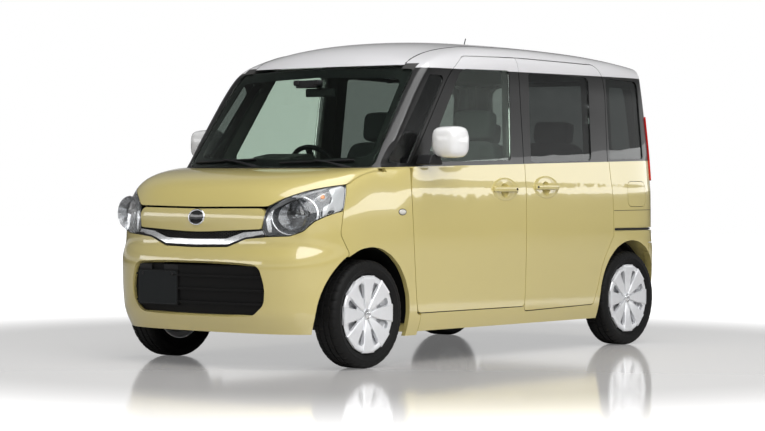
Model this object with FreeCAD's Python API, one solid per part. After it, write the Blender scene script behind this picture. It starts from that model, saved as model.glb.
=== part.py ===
import FreeCAD, Part
import math
import os

# Tall, boxy kei-class wagon. Millimetres, +Z up, nose towards -Y, its left side at +X.
V = FreeCAD.Vector
os.makedirs("parts", exist_ok=True)

LENGTH = 3395.0
WIDTH = 1475.0
HEIGHT = 1735.0
WHEELBASE = 2425.0
FRONT_OVERHANG = 540.0
FRONT_TRACK = 1295.0
REAR_TRACK = 1290.0
TYRE_WIDTH = 155.0
TYRE_DIAMETER = 550.0
RIM_SEAT_DIAMETER = 355.0
COVER_RADIUS = 197.0

PANEL_GAP = 5.0
SEAT_GAP = 0.3
RUNNING_FIT = 0.05
DOOR_THICKNESS = 57.0
SKIN = 25.0
BUMPER_SKIN = 34.0
GATE_THICKNESS = 45.0
GLASS_DEPTH = 6.0
GLASS_THICKNESS = 5.0

HALF_LENGTH = LENGTH / 2
HALF_WIDTH = WIDTH / 2
FRONT_AXLE_Y = -HALF_LENGTH + FRONT_OVERHANG
REAR_AXLE_Y = FRONT_AXLE_Y + WHEELBASE
HUB_Z = TYRE_DIAMETER / 2
ARCH_HALF_WIDTH = 325.0
ARCH_HEIGHT = 342.0
BELT_Z = 1044.3
BELT_SLOPE = 0.0262


def curve(points):
    """Monotone cubic through points (s, value), straight beyond both ends."""
    s = [p[0] for p in points]
    v = [p[1] for p in points]
    h = [b - a for a, b in zip(s, s[1:])]
    d = [(b - a) / w for a, b, w in zip(v, v[1:], h)]
    m = [d[0]]
    for i in range(1, len(d)):
        if d[i - 1] * d[i] <= 0:
            m.append(0.0)
        else:
            w1 = h[i - 1] + 2 * h[i]
            w2 = 2 * h[i - 1] + h[i]
            m.append((w1 + w2) / (w1 / d[i] + w2 / d[i - 1]))
    m.append(d[-1])

    def value(x):
        if x <= s[0]:
            return v[0] + m[0] * (x - s[0])
        if x >= s[-1]:
            return v[-1] + m[-1] * (x - s[-1])
        i = max(k for k in range(len(h)) if s[k] <= x)
        t = (x - s[i]) / h[i]
        keep = (1 + 2 * t) * (1 - t) ** 2
        come = t * t * (3 - 2 * t)
        bend = m[i] * t * (1 - t) ** 2 + m[i + 1] * t * t * (t - 1)
        return v[i] * keep + v[i + 1] * come + h[i] * bend

    return value


def rounded(points):
    """Closed polygon in 2-D; a third number on a point is its corner radius."""
    n = len(points)
    marks = []
    for i in range(n):
        p = points[i]
        a = points[i - 1]
        b = points[(i + 1) % n]
        r = p[2] if len(p) > 2 else 0.0
        u = (a[0] - p[0], a[1] - p[1])
        w = (b[0] - p[0], b[1] - p[1])
        lu = math.hypot(*u)
        lw = math.hypot(*w)
        cosine = (u[0] * w[0] + u[1] * w[1]) / (lu * lw)
        half = math.acos(max(-1.0, min(1.0, cosine))) / 2
        cut = r / math.tan(half) if r else 0.0
        cut = min(cut, 0.48 * lu, 0.48 * lw)
        r = cut * math.tan(half)
        if cut < 0.01:
            marks.append(((p[0], p[1]), None, (p[0], p[1])))
            continue
        s0 = (p[0] + u[0] / lu * cut, p[1] + u[1] / lu * cut)
        s1 = (p[0] + w[0] / lw * cut, p[1] + w[1] / lw * cut)
        bis = (u[0] / lu + w[0] / lw, u[1] / lu + w[1] / lw)
        lb = math.hypot(*bis)
        reach = r / math.sin(half) - r
        mid = (p[0] + bis[0] / lb * reach, p[1] + bis[1] / lb * reach)
        marks.append((s0, mid, s1))
    return marks


def wire(points, place):
    """Wire of a rounded polygon; place turns (a, b) into a 3-D point."""
    marks = rounded(points)
    edges = []
    for i, (s0, mid, s1) in enumerate(marks):
        if mid:
            edges.append(Part.Arc(place(*s0), place(*mid), place(*s1)).toShape())
        nxt = marks[(i + 1) % len(marks)][0]
        if math.hypot(nxt[0] - s1[0], nxt[1] - s1[1]) > 0.001:
            edges.append(Part.makeLine(place(*s1), place(*nxt)))
    return Part.Wire(Part.__sortEdges__(edges))


def prism_x(points, x0, x1, grow=0.0):
    w = wire(points, lambda y, z: V(x0, y, z))
    if grow:
        w = w.makeOffset2D(grow)
    return Part.Face(w).extrude(V(x1 - x0, 0, 0))


def prism_y(points, y0, y1, grow=0.0):
    w = wire(points, lambda x, z: V(x, y0, z))
    if grow:
        w = w.makeOffset2D(grow)
    return Part.Face(w).extrude(V(0, y1 - y0, 0))


def prism_z(points, z0, z1, grow=0.0):
    w = wire(points, lambda x, y: V(x, y, z0))
    if grow:
        w = w.makeOffset2D(grow)
    return Part.Face(w).extrude(V(0, 0, z1 - z0))


def box(x0, x1, y0, y1, z0, z1):
    return Part.makeBox(x1 - x0, y1 - y0, z1 - z0, V(x0, y0, z0))


def rod(r, a, b):
    a = V(*a)
    b = V(*b)
    return Part.makeCylinder(r, (b - a).Length, a, b - a)


def ring(points, x):
    """Turn a profile of (radius, offset along X) about the wheel axis line."""
    w = wire(points, lambda r, s: V(x + s, 0, r))
    return Part.Face(w).revolve(V(0, 0, 0), V(1, 0, 0), 360)


def mirrored(shape):
    return shape.mirror(V(0, 0, 0), V(1, 0, 0))


def largest(shape, count=1):
    solids = sorted(shape.Solids, key=lambda s: -s.Volume)[:count]
    return solids[0] if len(solids) == 1 else Part.makeCompound(solids)


def save(name, *shapes):
    solids = [s for shape in shapes for s in shape.Solids]
    out = solids[0] if len(solids) == 1 else Part.makeCompound(solids)
    out.exportStep("parts/" + name + ".step")


def chords(rows):
    """Mean chord-length parameters along the rows, from 0 to 1."""
    total = [0.0]
    for j in range(1, len(rows[0])):
        step = sum((row[j] - row[j - 1]).Length for row in rows) / len(rows)
        total.append(total[-1] + step)
    return [t / total[-1] for t in total]


def skin_through(rows, along=None):
    """Cubic surface that passes through a grid of points."""
    across = chords(rows)
    along = along or chords([list(col) for col in zip(*rows)])
    nets = []
    for row in rows:
        line = Part.BSplineCurve()
        line.interpolate(Points=row, Parameters=across)
        nets.append(line.getPoles())
    u_knots = line.getKnots()
    u_mults = line.getMultiplicities()
    poles = []
    for col in zip(*nets):
        line = Part.BSplineCurve()
        line.interpolate(Points=list(col), Parameters=along)
        poles.append(line.getPoles())
    surface = Part.BSplineSurface()
    surface.buildFromPolesMultsKnots(poles, u_mults, line.getMultiplicities(), u_knots,
                                     line.getKnots(), False, False, 3, 3)
    return surface.toShape()


def solid_of(faces):
    body = Part.makeCompound(faces)
    body.sewShape()
    solid = Part.Solid(body.Shells[0])
    if solid.Volume < 0:
        solid.reverse()
    return solid


def flat_edges(face, axis, value):
    """Edges of the face that lie in the plane axis = value."""
    found = []
    for e in face.Edges:
        ends = [getattr(e.valueAt(e.FirstParameter + (e.LastParameter - e.FirstParameter) * t), axis)
                for t in (0.0, 0.33, 0.66, 1.0)]
        if max(abs(v - value) for v in ends) < 0.01:
            found.append(e)
    return found


# Lower body and tail: horizontal slices. Front line, side line and rear line follow height.
FRONT_LINE = curve([(150, -1632), (205, -1652), (280, -1684), (410, -1696), (522, -1697.5),
                    (570, -1690), (602, -1675), (640, -1665), (708, -1663), (770, -1660),
                    (820, -1645), (870, -1612), (915, -1568), (955, -1498), (985, -1400),
                    (1003, -1300), (1015, -1200), (1023, -1140), (1032, -1120),
                    (1060, -1118), (1740, -1117)])
SIDE_LINE = curve([(150, 694), (209, 713), (273, 726), (345, 731), (450, 733.5), (620, 737.5),
                   (780, 736.5), (900, 734), (950, 729), (1023, 724), (1082, 720),
                   (1300, 705), (1557, 687), (1740, 672)])
NOSE_SIDE_LINE = curve([(150, 694), (209, 713), (273, 726), (345, 731), (450, 733.5),
                        (620, 736), (780, 733), (900, 726), (950, 719), (985, 709),
                        (1003, 700), (1015, 690), (1023, 680), (1060, 670), (1740, 640)])
REAR_LINE = curve([(150, 1640), (230, 1668), (330, 1690), (450, 1697.5), (560, 1694),
                   (620, 1676), (700, 1670), (900, 1668), (1080, 1660), (1300, 1636),
                   (1500, 1604), (1640, 1572), (1740, 1544)])
SLICE_HEIGHTS = [150, 205, 245, 280, 330, 400, 465, 522, 560, 585, 605, 625, 650, 680, 730,
                 780, 820, 860, 895, 920, 940, 957, 972, 985, 996, 1005, 1013, 1020, 1027, 1035,
                 1048, 1070, 1120, 1220, 1350, 1480, 1600, 1740]
NOSE_START = -1000.0
NOSE_POWER = 4.2
NOSE_CROWN = 40.0
NOSE_INSET_LIMIT = 25.0
TAIL_START = 1150.0
TAIL_POWER = 5.5
TAIL_CROWN = 28.0
NOSE_STEPS = 13
TAIL_STEPS = 11
SPLIT_Y = 194.5
FLANK_STATIONS = [-960, -900, -850, -800, -600, -350, -100, SPLIT_Y, 450, 700, 900, 1050]


def inner_front_line(inset):
    """Nose and bonnet line moved inwards square to itself."""
    if not inset:
        return FRONT_LINE
    cut = min(inset, NOSE_INSET_LIMIT)
    points = []
    for z in SLICE_HEIGHTS:
        slope = (FRONT_LINE(z + 1) - FRONT_LINE(z - 1)) / 2
        norm = math.hypot(1, slope)
        moved = (z - cut * slope / norm, FRONT_LINE(z) + cut / norm)
        if not points or moved[0] > points[-1][0] + 2:
            points.append(moved)
    return curve(points)


def slice_points(z, inset, front):
    """Half slice from the nose centre round the left side to the tail centre."""
    side = SIDE_LINE(z) - inset
    nose = min(NOSE_SIDE_LINE(z), SIDE_LINE(z)) - inset
    depth = NOSE_START - front
    crown = min(NOSE_CROWN, 0.3 * depth)
    pts = []
    for i in range(NOSE_STEPS):
        a = math.pi / 2 * i / (NOSE_STEPS - 1)
        x = nose * math.sin(a) ** (2 / NOSE_POWER)
        y = NOSE_START - (depth - crown * (x / nose) ** 2) * abs(math.cos(a)) ** (2 / NOSE_POWER)
        pts.append(V(x, y, z))
    for y in FLANK_STATIONS:
        t = max(0.0, min(1.0, (y - NOSE_START) / 200.0))
        t = t * t * (3 - 2 * t)
        pts.append(V(nose + (side - nose) * t, y, z))
    length = REAR_LINE(z) - inset - TAIL_START
    for i in range(TAIL_STEPS):
        a = math.pi / 2 * i / (TAIL_STEPS - 1)
        x = side * abs(math.cos(a)) ** (2 / TAIL_POWER)
        reach = length - TAIL_CROWN * (x / side) ** 2
        pts.append(V(x, TAIL_START + reach * math.sin(a) ** (2 / TAIL_POWER), z))
    return pts


def remembered(build):
    """Keep each solid that was built for an inset, to use it again."""
    kept = {}

    def fetch(inset):
        if inset not in kept:
            kept[inset] = build(inset)
        return kept[inset]

    return fetch


@remembered
def tower(inset):
    """Solid of the horizontal slices, moved inwards by inset."""
    nose_rows = []
    tail_rows = []
    front = inner_front_line(inset)
    for z in SLICE_HEIGHTS:
        half = slice_points(z, inset, front(z))
        split = NOSE_STEPS + FLANK_STATIONS.index(SPLIT_Y)
        nose = half[:split + 1]
        tail = half[split:]
        nose_rows.append([V(-p.x, p.y, p.z) for p in reversed(nose[1:])] + nose)
        tail_rows.append(tail + [V(-p.x, p.y, p.z) for p in reversed(tail[:-1])])
    along = chords([list(col) for col in zip(*nose_rows)])
    skins = [skin_through(nose_rows, along), skin_through(tail_rows, along)]
    caps = []
    for z in (nose_rows[0][0].z, nose_rows[-1][0].z):
        rim = flat_edges(skins[0], "z", z) + flat_edges(skins[1], "z", z)
        caps.append(Part.Face(Part.Wire(Part.__sortEdges__(rim))))
    return solid_of(skins + caps)


# Upper body: sections across the car. Screen and roof line, side lean, crown and roof edge.
ROOF_LINE = curve([(-1240, 862), (-1119, 1010), (-905, 1288), (-684, 1554), (-632, 1606),
                   (-560, 1652), (-420, 1692), (-200, 1719), (50, 1731), (400, HEIGHT),
                   (900, 1726), (1300, 1704), (1710, 1664)])
LEAN = curve([(500, 740), (1000, 719), (1060, 715), (1300, 697), (1557, 676), (1740, 661)])
NARROWING = curve([(-1240, 50), (-1040, 30), (-800, 14), (-600, 8), (-300, 3), (0, 0),
                   (900, 0), (1200, 5), (1450, 16), (1710, 34)])
CROWN = curve([(-1240, 90), (-1119, 86), (-905, 72), (-684, 52), (-540, 62), (-400, 60), (0, 52),
               (1710, 52)])
EDGE_REACH = curve([(-1240, 48), (-700, 40), (-580, 52), (-420, 88), (-250, 112), (1710, 112)])
STATIONS = [-1240, -1180, -1119, -1050, -980, -905, -830, -760, -705, -665, -632, -595, -550,
            -490, -410, -310, -200, -60, 100, 300, 500, 700, 900, 1100, 1300, 1500, 1710]
CROWN_POWER = 2.2
CROWN_WIDTH = 600.0
CABIN_FOOT_Z = 500.0


def cabin_section(y, inset):
    slope = (ROOF_LINE(y + 1) - ROOF_LINE(y - 1)) / 2
    top = ROOF_LINE(y) - inset * math.hypot(1, slope)
    fall = CROWN(y)
    slim = NARROWING(y) + inset

    def lid(x):
        return top - fall * (abs(x) / CROWN_WIDTH) ** CROWN_POWER

    zc = top - fall
    for _ in range(30):
        zc = lid(LEAN(zc) - slim)
    xc = LEAN(zc) - slim
    leg = max(20.0, EDGE_REACH(y) - 0.6 * inset)
    z0 = zc - leg
    start = V(LEAN(z0) - slim, y, z0)
    corner = V(xc, y, zc)
    end = V(xc - leg, y, lid(xc - leg))
    half = []
    for i in range(7):
        z = CABIN_FOOT_Z + (z0 - CABIN_FOOT_Z) * i / 7
        half.append(V(LEAN(z) - slim, y, z))
    for i in range(7):
        t = i / 6
        half.append(start * (1 - t) ** 2 + corner * (2 * t * (1 - t)) + end * t * t)
    for i in range(1, 8):
        x = (xc - leg) * (1 - i / 7)
        half.append(V(x, y, lid(x)))
    return half + [V(-p.x, p.y, p.z) for p in reversed(half[:-1])]


@remembered
def loaf(inset):
    """Closed solid of the upper body's cross sections, moved inwards by inset."""
    rows = [cabin_section(y, inset) for y in STATIONS]
    skin = skin_through(rows)
    ties = [Part.makeLine(row[0], row[-1]) for row in (rows[0], rows[-1])]
    faces = [skin]
    for row, tie in zip((rows[0], rows[-1]), ties):
        arch = flat_edges(skin, "y", row[0].y)
        faces.append(Part.Face(Part.Wire(Part.__sortEdges__(arch + [tie]))))
    feet = flat_edges(skin, "z", CABIN_FOOT_Z)
    faces.append(Part.Face(Part.Wire(Part.__sortEdges__(feet + ties))))
    return solid_of(faces)


def belt(y):
    return BELT_Z + BELT_SLOPE * y


COWL_Y = -1125.0
OVER_BELT = prism_x([(COWL_Y, belt(COWL_Y)), (1900, belt(1900)), (1900, 2000), (COWL_Y, 2000)],
                    -900, 900)


@remembered
def hull(inset):
    """Whole outer form: slices below the belt line, slices and upper body in common above."""
    return tower(inset).cut(OVER_BELT.cut(loaf(inset)))


def layer(form, outside, inside, zone):
    """Part of the zone that lies between two insets of a form."""
    return form(outside).common(zone).cut(form(inside))


# Outlines in side view (y, z, corner radius), left side.
FRONT_DOOR = [(-760, 268, 30), (-778, 345, 260), (-807, 594, 700), (-828, 904, 300),
              (-806, 1024, 50), (-428, 1531, 400), (-272, 1622, 90), (192, 1633, 10),
              (192, 268, 22)]
REAR_DOOR = [(197, 1633, 10), (982, 1629, 70), (1035, 1569, 120), (1048, 1446, 400),
             (1036, 1105, 400), (1064, 851, 400), (1073, 647, 30), (1049, 614, 50),
             (963, 494, 300), (919, 363, 260), (880, 255, 25), (197, 242, 22)]
FRONT_DOOR_HOLE = [(-722, 315, 50), (-762, 594, 500), (-778, 1000, 60), (-420, 1470, 200),
                   (-262, 1583, 70), (150, 1592, 45), (140, 315, 50)]
REAR_DOOR_HOLE = [(250, 1592, 45), (965, 1588, 80), (1000, 1446, 200), (985, 1105, 300),
                  (1000, 700, 100), (905, 520, 150), (850, 300, 60), (250, 290, 50)]
FRONT_PANE = [(-680, 1050, 30), (-342, 1532, 60), (-290, 1553, 40), (108, 1561, 20), (74, 1068, 22)]
REAR_PANE = [(286, 1556, 24), (884, 1553, 34), (868, 1076, 30), (264, 1058, 30)]
QUARTER_PANE = [(1068, 1556, 14), (1424, 1552, 40), (1444, 1094, 14), (1062, 1086, 14)]
SAIL_PANE = [(-975, 1042, 14), (-822, 1042, 16), (-470, 1512, 22), (-602, 1512, 26)]


def arch(y0, grow=0.0):
    """Wheel opening in side view, a half ellipse on short straight legs."""
    pts = []
    for i in range(13):
        a = math.pi * i / 12
        pts.append((y0 - (ARCH_HALF_WIDTH + grow) * math.cos(a),
                    HUB_Z + (ARCH_HEIGHT + grow) * math.sin(a), 200))
    low = ARCH_HALF_WIDTH + grow + 4
    return [(y0 - low, 120)] + pts + [(y0 + low, 120)]


WELL_RADIUS = 334.0
WELL_X = 536.0
LINER_RADIUS = 343.0


def well(x0, x1, r, y):
    return Part.makeCylinder(r, x1 - x0, V(x0, y, HUB_Z), V(1, 0, 0))


FRONT_ARCH = prism_x(arch(FRONT_AXLE_Y), 640, 800)
FRONT_WELL = well(398, 800, LINER_RADIUS + 3, FRONT_AXLE_Y)
REAR_ARCH = prism_x(arch(REAR_AXLE_Y), 560, 800)

# Outlines from the front (x, z, corner radius).
BONNET_FACE = [(-440, 819, 60), (-500, 858, 120), (-590, 898, 200), (-699, 932, 10),
               (-699, 1060), (699, 1060), (699, 932, 10),
               (590, 898, 200), (500, 858, 120), (440, 819, 60), (0, 814, 4000)]
SCREEN = [(-650, 1021, 34), (0, 1004, 6000), (650, 1021, 34), (606, 1540, 34), (0, 1556, 6000),
          (-606, 1540, 34)]
GATE = [(-588, 602, 40), (588, 602, 40), (604, 960, 300), (600, 1100, 300), (572, 1560, 200),
        (540, 1640, 30), (-540, 1640, 30), (-572, 1560, 200), (-600, 1100, 300),
        (-604, 960, 300)]
GATE_PANE = [(-528, 1110, 60), (528, 1110, 60), (500, 1545, 70), (-500, 1545, 70)]
LAMP_FACE = [(440, 814, 30), (420, 708, 16), (444, 671, 16), (560, 676, 60), (612, 700, 50),
             (646, 748, 60), (712, 803, 12), (800, 803), (800, 927), (699, 927, 10),
             (590, 893, 200), (500, 853, 120)]
LAMP_REAR = [(-1900, 640), (-1379, 640), (-1356, 803, 6), (-1318, 930, 4), (-1318, 1000), (-1900, 1000)]

# Cabin space inside the walls.
CABIN_WALL_X = 612.0
ROOF_THICKNESS = 40.0
cabin_high = prism_y([(-CABIN_WALL_X, 510), (CABIN_WALL_X, 510), (CABIN_WALL_X, 1060, 200),
                      (575, 1560, 60), (500, 1690, 60), (-500, 1690, 60), (-575, 1560, 60),
                      (-CABIN_WALL_X, 1060, 200)], -1128, 1606)
CABIN_HIGH = cabin_high.common(loaf(ROOF_THICKNESS))
CABIN_LOW = box(-CABIN_WALL_X, CABIN_WALL_X, -1128, 1606, 100, 511)
SCREEN_HOLE = prism_y(SCREEN, -1300, -500)
ROOF_SEAM_X = 525.0
ROOF_SEAM_Z = 1480.0


def side_region(points, grow=0.0):
    return prism_x(points, 560, 800, grow)


DOOR_TOP_RELIEF = [(186, 1500), (203, 1500), (203, 1636), (186, 1636)]
door_cut = side_region(FRONT_DOOR, PANEL_GAP).fuse([side_region(REAR_DOOR, PANEL_GAP), side_region(DOOR_TOP_RELIEF)])
door_cut = door_cut.cut(hull(DOOR_THICKNESS + PANEL_GAP))
fender_side = [(-1900, 1100), (-829, 1100), (-834, 904, 300), (-812, 594, 700),
               (-783, 345, 260), (-766, 262, 20), (-735, 252), (-735, 100), (-1900, 100)]

# Side frames: sill, pillars, roof rail and rear quarter, one pressing on each side.
frame = hull(0).common(box(ROOF_SEAM_X + 2, 760, COWL_Y + 3, 1720, 170, 1740))
below_belt = prism_x([(-1900, belt(-1900)), (1900, belt(1900)), (1900, 0), (-1900, 0)], -900, 900)
FENDER_SEAT = [(-1900, 1100), (-770, 1100), (-740, 345), (-732, 249), (-732, 100), (-1900, 100)]
BELT_LEDGE = 4.0
under_ledge = below_belt.copy()
under_ledge.translate(V(0, 0, -BELT_LEDGE))
fender_zone = prism_x(FENDER_SEAT, 640, 800).common(under_ledge).cut(hull(SKIN + PANEL_GAP))
gate_hole = prism_y(GATE, 1480, 1800, PANEL_GAP)
REAR_BUMPER_TOP = 596.0
BUMPER_REAR_SIDE = [(1470, REAR_BUMPER_TOP), (1800, REAR_BUMPER_TOP), (1800, 60), (1470, 60)]
bumper_seat = prism_x(BUMPER_REAR_SIDE, 0, 800, PANEL_GAP).cut(hull(BUMPER_SKIN + 1))
LAMP_SIDE = [(1500, 1345, 14), (1536, 966, 14), (1800, 966), (1800, 1345)]
LAMP_PROUD = 8.0
lamp_seat = prism_x(LAMP_SIDE, 607, 800, 3).cut(tower(26))
FUEL_LID = [(1226, 813, 36), (1226, 958, 36), (1420, 958, 36), (1420, 813, 36)]
RAIL_SLOT = [(1082, 671, 5), (1082, 689, 5), (1700, 689), (1700, 671)]
rail_slot = prism_x(RAIL_SLOT, 640, 800).cut(hull(14))
holes = [prism_x(h, 500, 800) for h in (FRONT_DOOR_HOLE, REAR_DOOR_HOLE, QUARTER_PANE, SAIL_PANE)]
front_corner = prism_x([(-1300, 0), (-1062, 0), (-1062, belt(-1062)), (-1300, belt(-1300))], 400, 800)
rear_well = well(WELL_X, 700, WELL_RADIUS, REAR_AXLE_Y)
frame = frame.cut([CABIN_HIGH, CABIN_LOW, FRONT_WELL, front_corner, rear_well, door_cut, REAR_ARCH,
                   FRONT_ARCH, SCREEN_HOLE, fender_zone, gate_hole, bumper_seat, lamp_seat,
                   rail_slot] + holes)
save("side_frame_left", largest(frame.cut(prism_x(FUEL_LID, 640, 800, 3))))
save("side_frame_right", mirrored(largest(frame)))
lid = layer(hull, 0, 8, prism_x(FUEL_LID, 640, 800))
tail_lamp = layer(tower, -LAMP_PROUD, 22, prism_x(LAMP_SIDE, 612, 800))
rail = prism_x([(1086, 675, 3), (1086, 685, 3), (1588, 685), (1588, 675)], 650, 800)
rail = rail.common(hull(6)).cut(hull(13.7))
save("slide_rails", rail, mirrored(rail))

# Roof panel between the two drip seams.
roof = hull(0).common(box(-ROOF_SEAM_X + 2, ROOF_SEAM_X - 2, -760, 1720, ROOF_SEAM_Z, 1740))
roof = roof.cut([CABIN_HIGH, SCREEN_HOLE, gate_hole])
roof = roof.common(prism_x([(-900, 1564), (-500, 1564), (1720, 1564), (1720, 1800), (-900, 1800)],
                           -600, 600))
save("roof_panel", largest(roof))

# Side doors.
front_door = layer(hull, 0, DOOR_THICKNESS, side_region(FRONT_DOOR))
front_door = front_door.cut(prism_x(FRONT_PANE, 500, 800))
rear_door = layer(hull, 0, DOOR_THICKNESS, side_region(REAR_DOOR))
rear_door = rear_door.cut(prism_x(REAR_PANE, 500, 800))


def pane(outline):
    return layer(loaf, GLASS_DEPTH, GLASS_DEPTH + GLASS_THICKNESS, side_region(outline, -SEAT_GAP))


# Handle recess with its grip bridging it.
def handle(door, y, z):
    probe = door.common(rod(1, (600, y, z), (800, y, z)))
    x = probe.BoundBox.XMax
    bowl = Part.makeSphere(58, V(x + 40, y, z - 4))
    door = door.cut(bowl)
    grip = prism_x([(y - 78, z - 13, 13), (y + 74, z - 13, 13), (y + 74, z + 13, 13),
                    (y - 78, z + 13, 13)], x - 5, x + 5)
    return door, grip


front_door, front_grip = handle(front_door, -5, 911)
rear_door, rear_grip = handle(rear_door, 388, 923)
front_door = front_door.fuse(front_grip)
rear_door = rear_door.fuse(rear_grip)
front_pane = pane(FRONT_PANE)
rear_pane = pane(REAR_PANE)
save("door_front_left", largest(front_door))
save("door_front_right", mirrored(largest(front_door)))
save("door_rear_left", largest(rear_door))
save("door_rear_right", mirrored(largest(rear_door)))
save("door_glass_left", front_pane)
save("door_glass_right", mirrored(front_pane))
save("rear_door_glass", rear_pane, mirrored(rear_pane))
fixed = [pane(QUARTER_PANE), pane(SAIL_PANE)]
save("quarter_glass", *(fixed + [mirrored(p) for p in fixed]))

# Door mirrors on their arms.
mirror = Part.makeBox(178, 148, 166, V(768, -744, 1071))
mirror = mirror.makeFillet(44, mirror.Edges)
arm = prism_x([(-790, 1034, 6), (-662, 1034, 6), (-676, 1084, 10), (-748, 1084, 10)], 690, 812)
mirror = mirror.fuse(arm.cut(hull(-SEAT_GAP)))
save("mirror_left", mirror)
save("mirror_right", mirrored(mirror))

# Fenders.
under_ledge.translate(V(0, 0, -BELT_LEDGE / 2))
fender = layer(hull, 0, SKIN, prism_x(fender_side, 640, 800).common(under_ledge))
bonnet_space = prism_y(BONNET_FACE, -1800, -1000, PANEL_GAP)
FENDER_FRONT = [(-1352, 803, 6), (-1374, 680, 60), (-1322, 590), (-1322, 100), (-1900, 100),
                (-1900, 1300), (-1314, 1300), (-1314, 927, 4)]
fender = fender.cut([FRONT_ARCH, bonnet_space, prism_x(FENDER_FRONT, 500, 800),
                     box(500, 668, -1200, -700, 900, 1100)])
save("fender_left", largest(fender))
save("fender_right", mirrored(largest(fender)))

# Bonnet.
BONNET_REAR = [(-720, -1800), (720, -1800), (720, -1055), (640, -1077, 200), (350, -1130, 900),
               (0, -1146, 3000), (-350, -1130, 900), (-640, -1077, 200), (-720, -1055)]
bonnet = layer(hull, 0, SKIN, prism_y(BONNET_FACE, -1800, -1000).common(prism_z(BONNET_REAR, 700, 1100)))
save("hood", largest(bonnet))

# Headlamps: deep housing with a round bowl, clear cover in front.
lamp_zone = prism_y(LAMP_FACE, -1800, -1200).common(prism_x(LAMP_REAR, 300, 800))
lens = layer(tower, 0, 5, lamp_zone)
housing = layer(tower, 5.3, SKIN, lamp_zone)
bowl = Part.makeCone(92, 60, 260, V(560, -1720, 775), V(0, 1, 0))
housing = housing.cut(bowl)
save("headlamp_lenses", largest(lens), mirrored(largest(lens)))
save("headlamps", largest(housing), mirrored(largest(housing)))

# Nose: emblem panel, slot mesh with its bright bar, lower grille and bumper.
NOSE_PANEL = [(-436, 809, 50), (0, 804, 4000), (436, 809, 50), (415, 706, 14), (0, 686, 2500),
              (-415, 706, 14)]
SLOT = [(-418, 703), (0, 683, 2500), (418, 703), (428, 676), (300, 662, 60), (200, 616, 60),
        (0, 612, 2500), (-200, 616, 60), (-300, 662, 60), (-428, 676)]
BAR = [(-420, 697, 4), (-310, 688, 60), (-205, 655, 60), (0, 650, 2500), (205, 655, 60),
       (310, 688, 60), (420, 697, 4), (438, 671, 4), (330, 660, 60), (215, 622, 60),
       (0, 617, 2500), (-215, 622, 60), (-330, 660, 60), (-438, 671, 4)]
LOWER_OPENING = [(-418, 520, 50), (418, 520, 50), (456, 414, 200), (448, 330, 60),
                 (380, 276, 50), (-380, 276, 50), (-448, 330, 60), (-456, 414, 200)]
nose_panel = layer(tower, 0, BUMPER_SKIN, prism_y(NOSE_PANEL, -1800, -1580))
save("nose_panel", largest(nose_panel))
bar = layer(tower, 2, 16, prism_y(BAR, -1800, -1500))
save("chrome_bar", largest(bar))
BUMPER_FACE = [(-800, 100), (-800, 797), (-716, 797, 10), (-651, 742, 60), (-616, 695, 50),
               (-562, 671, 60), (-445, 666, 20), (-330, 655, 60), (-215, 613, 60),
               (0, 608, 2500), (215, 613, 60), (330, 655, 60), (445, 666, 20), (562, 671, 60),
               (616, 695, 50), (651, 742, 60), (716, 797, 10), (800, 797), (800, 100)]
BUMPER_SIDE = [(-1358, 803, 6), (-1379, 680, 60), (-1327, 590), (-1327, 100), (-1900, 100),
               (-1900, 803)]
bumper_zone = prism_y(BUMPER_FACE, -1800, -1200).common(prism_x(BUMPER_SIDE, -800, 800))
bumper_zone = bumper_zone.common(box(-800, 800, -1800, -1200, 183, 900))
bumper = layer(tower, 0, BUMPER_SKIN, bumper_zone)
outer_rim = wire(LOWER_OPENING, lambda x, z: V(x, -1712, z)).makeOffset2D(30)
inner_rim = wire(LOWER_OPENING, lambda x, z: V(x, -1652, z)).makeOffset2D(0.5)
bevel = Part.makeLoft([outer_rim, inner_rim], True)
bumper = bumper.cut([FRONT_ARCH, mirrored(FRONT_ARCH), FRONT_WELL, mirrored(FRONT_WELL),
                     prism_y(LOWER_OPENING, -1800, -1500), bevel])
save("front_bumper", largest(bumper))
backing = layer(tower, 20, 25, prism_y(LOWER_OPENING, -1800, -1500, -SEAT_GAP))
slats = []
for z in (330, 398, 466):
    slats.append(prism_y(LOWER_OPENING, -1800, -1500, -3).common(box(-440, 440, -1800, -1560, z - 5, z + 5)))
slats = layer(tower, 10, 21, Part.makeCompound(slats))
grille = backing.fuse(slats)
plate = box(-390, -110, -1684, -1660, 310, 490)
holes = [rod(3.5, (x, -1700, 470), (x, -1600, 470)) for x in (-355, -145)]
grille = grille.fuse(plate).cut(holes)
mesh = layer(tower, 17, 24, prism_y(SLOT, -1800, -1500))
save("grille", largest(grille))
save("upper_grille", largest(mesh))

# Rear bumper.
rear_zone = prism_x(BUMPER_REAR_SIDE, -800, 800).common(box(-800, 800, 1400, 1800, 190, 700))
rear_bumper = layer(tower, 0, BUMPER_SKIN, rear_zone).cut([REAR_ARCH, mirrored(REAR_ARCH)])
save("rear_bumper", largest(rear_bumper))
save("tail_lamps", largest(tail_lamp), mirrored(largest(tail_lamp)))
save("fuel_lid", largest(lid))

# Tailgate.
gate = layer(hull, 0, GATE_THICKNESS, prism_y(GATE, 1480, 1800)).cut(prism_y(GATE_PANE, 1480, 1800))
PLATE_RECESS = [(-196, 748, 24), (196, 748, 24), (206, 938, 24), (-206, 938, 24)]
gate = gate.cut(prism_y(PLATE_RECESS, 1480, 1800).cut(tower(20)))
gate_glass = layer(tower, GLASS_DEPTH, GLASS_DEPTH + GLASS_THICKNESS,
                   prism_y(GATE_PANE, 1480, 1800, -SEAT_GAP))
save("tailgate", largest(gate))
save("tailgate_glass", largest(gate_glass))

# Windscreen.
screen = layer(loaf, GLASS_DEPTH, GLASS_DEPTH + GLASS_THICKNESS,
               prism_y(SCREEN, -1300, -500, -SEAT_GAP).cut(below_belt))
save("windscreen", largest(screen))

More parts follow.
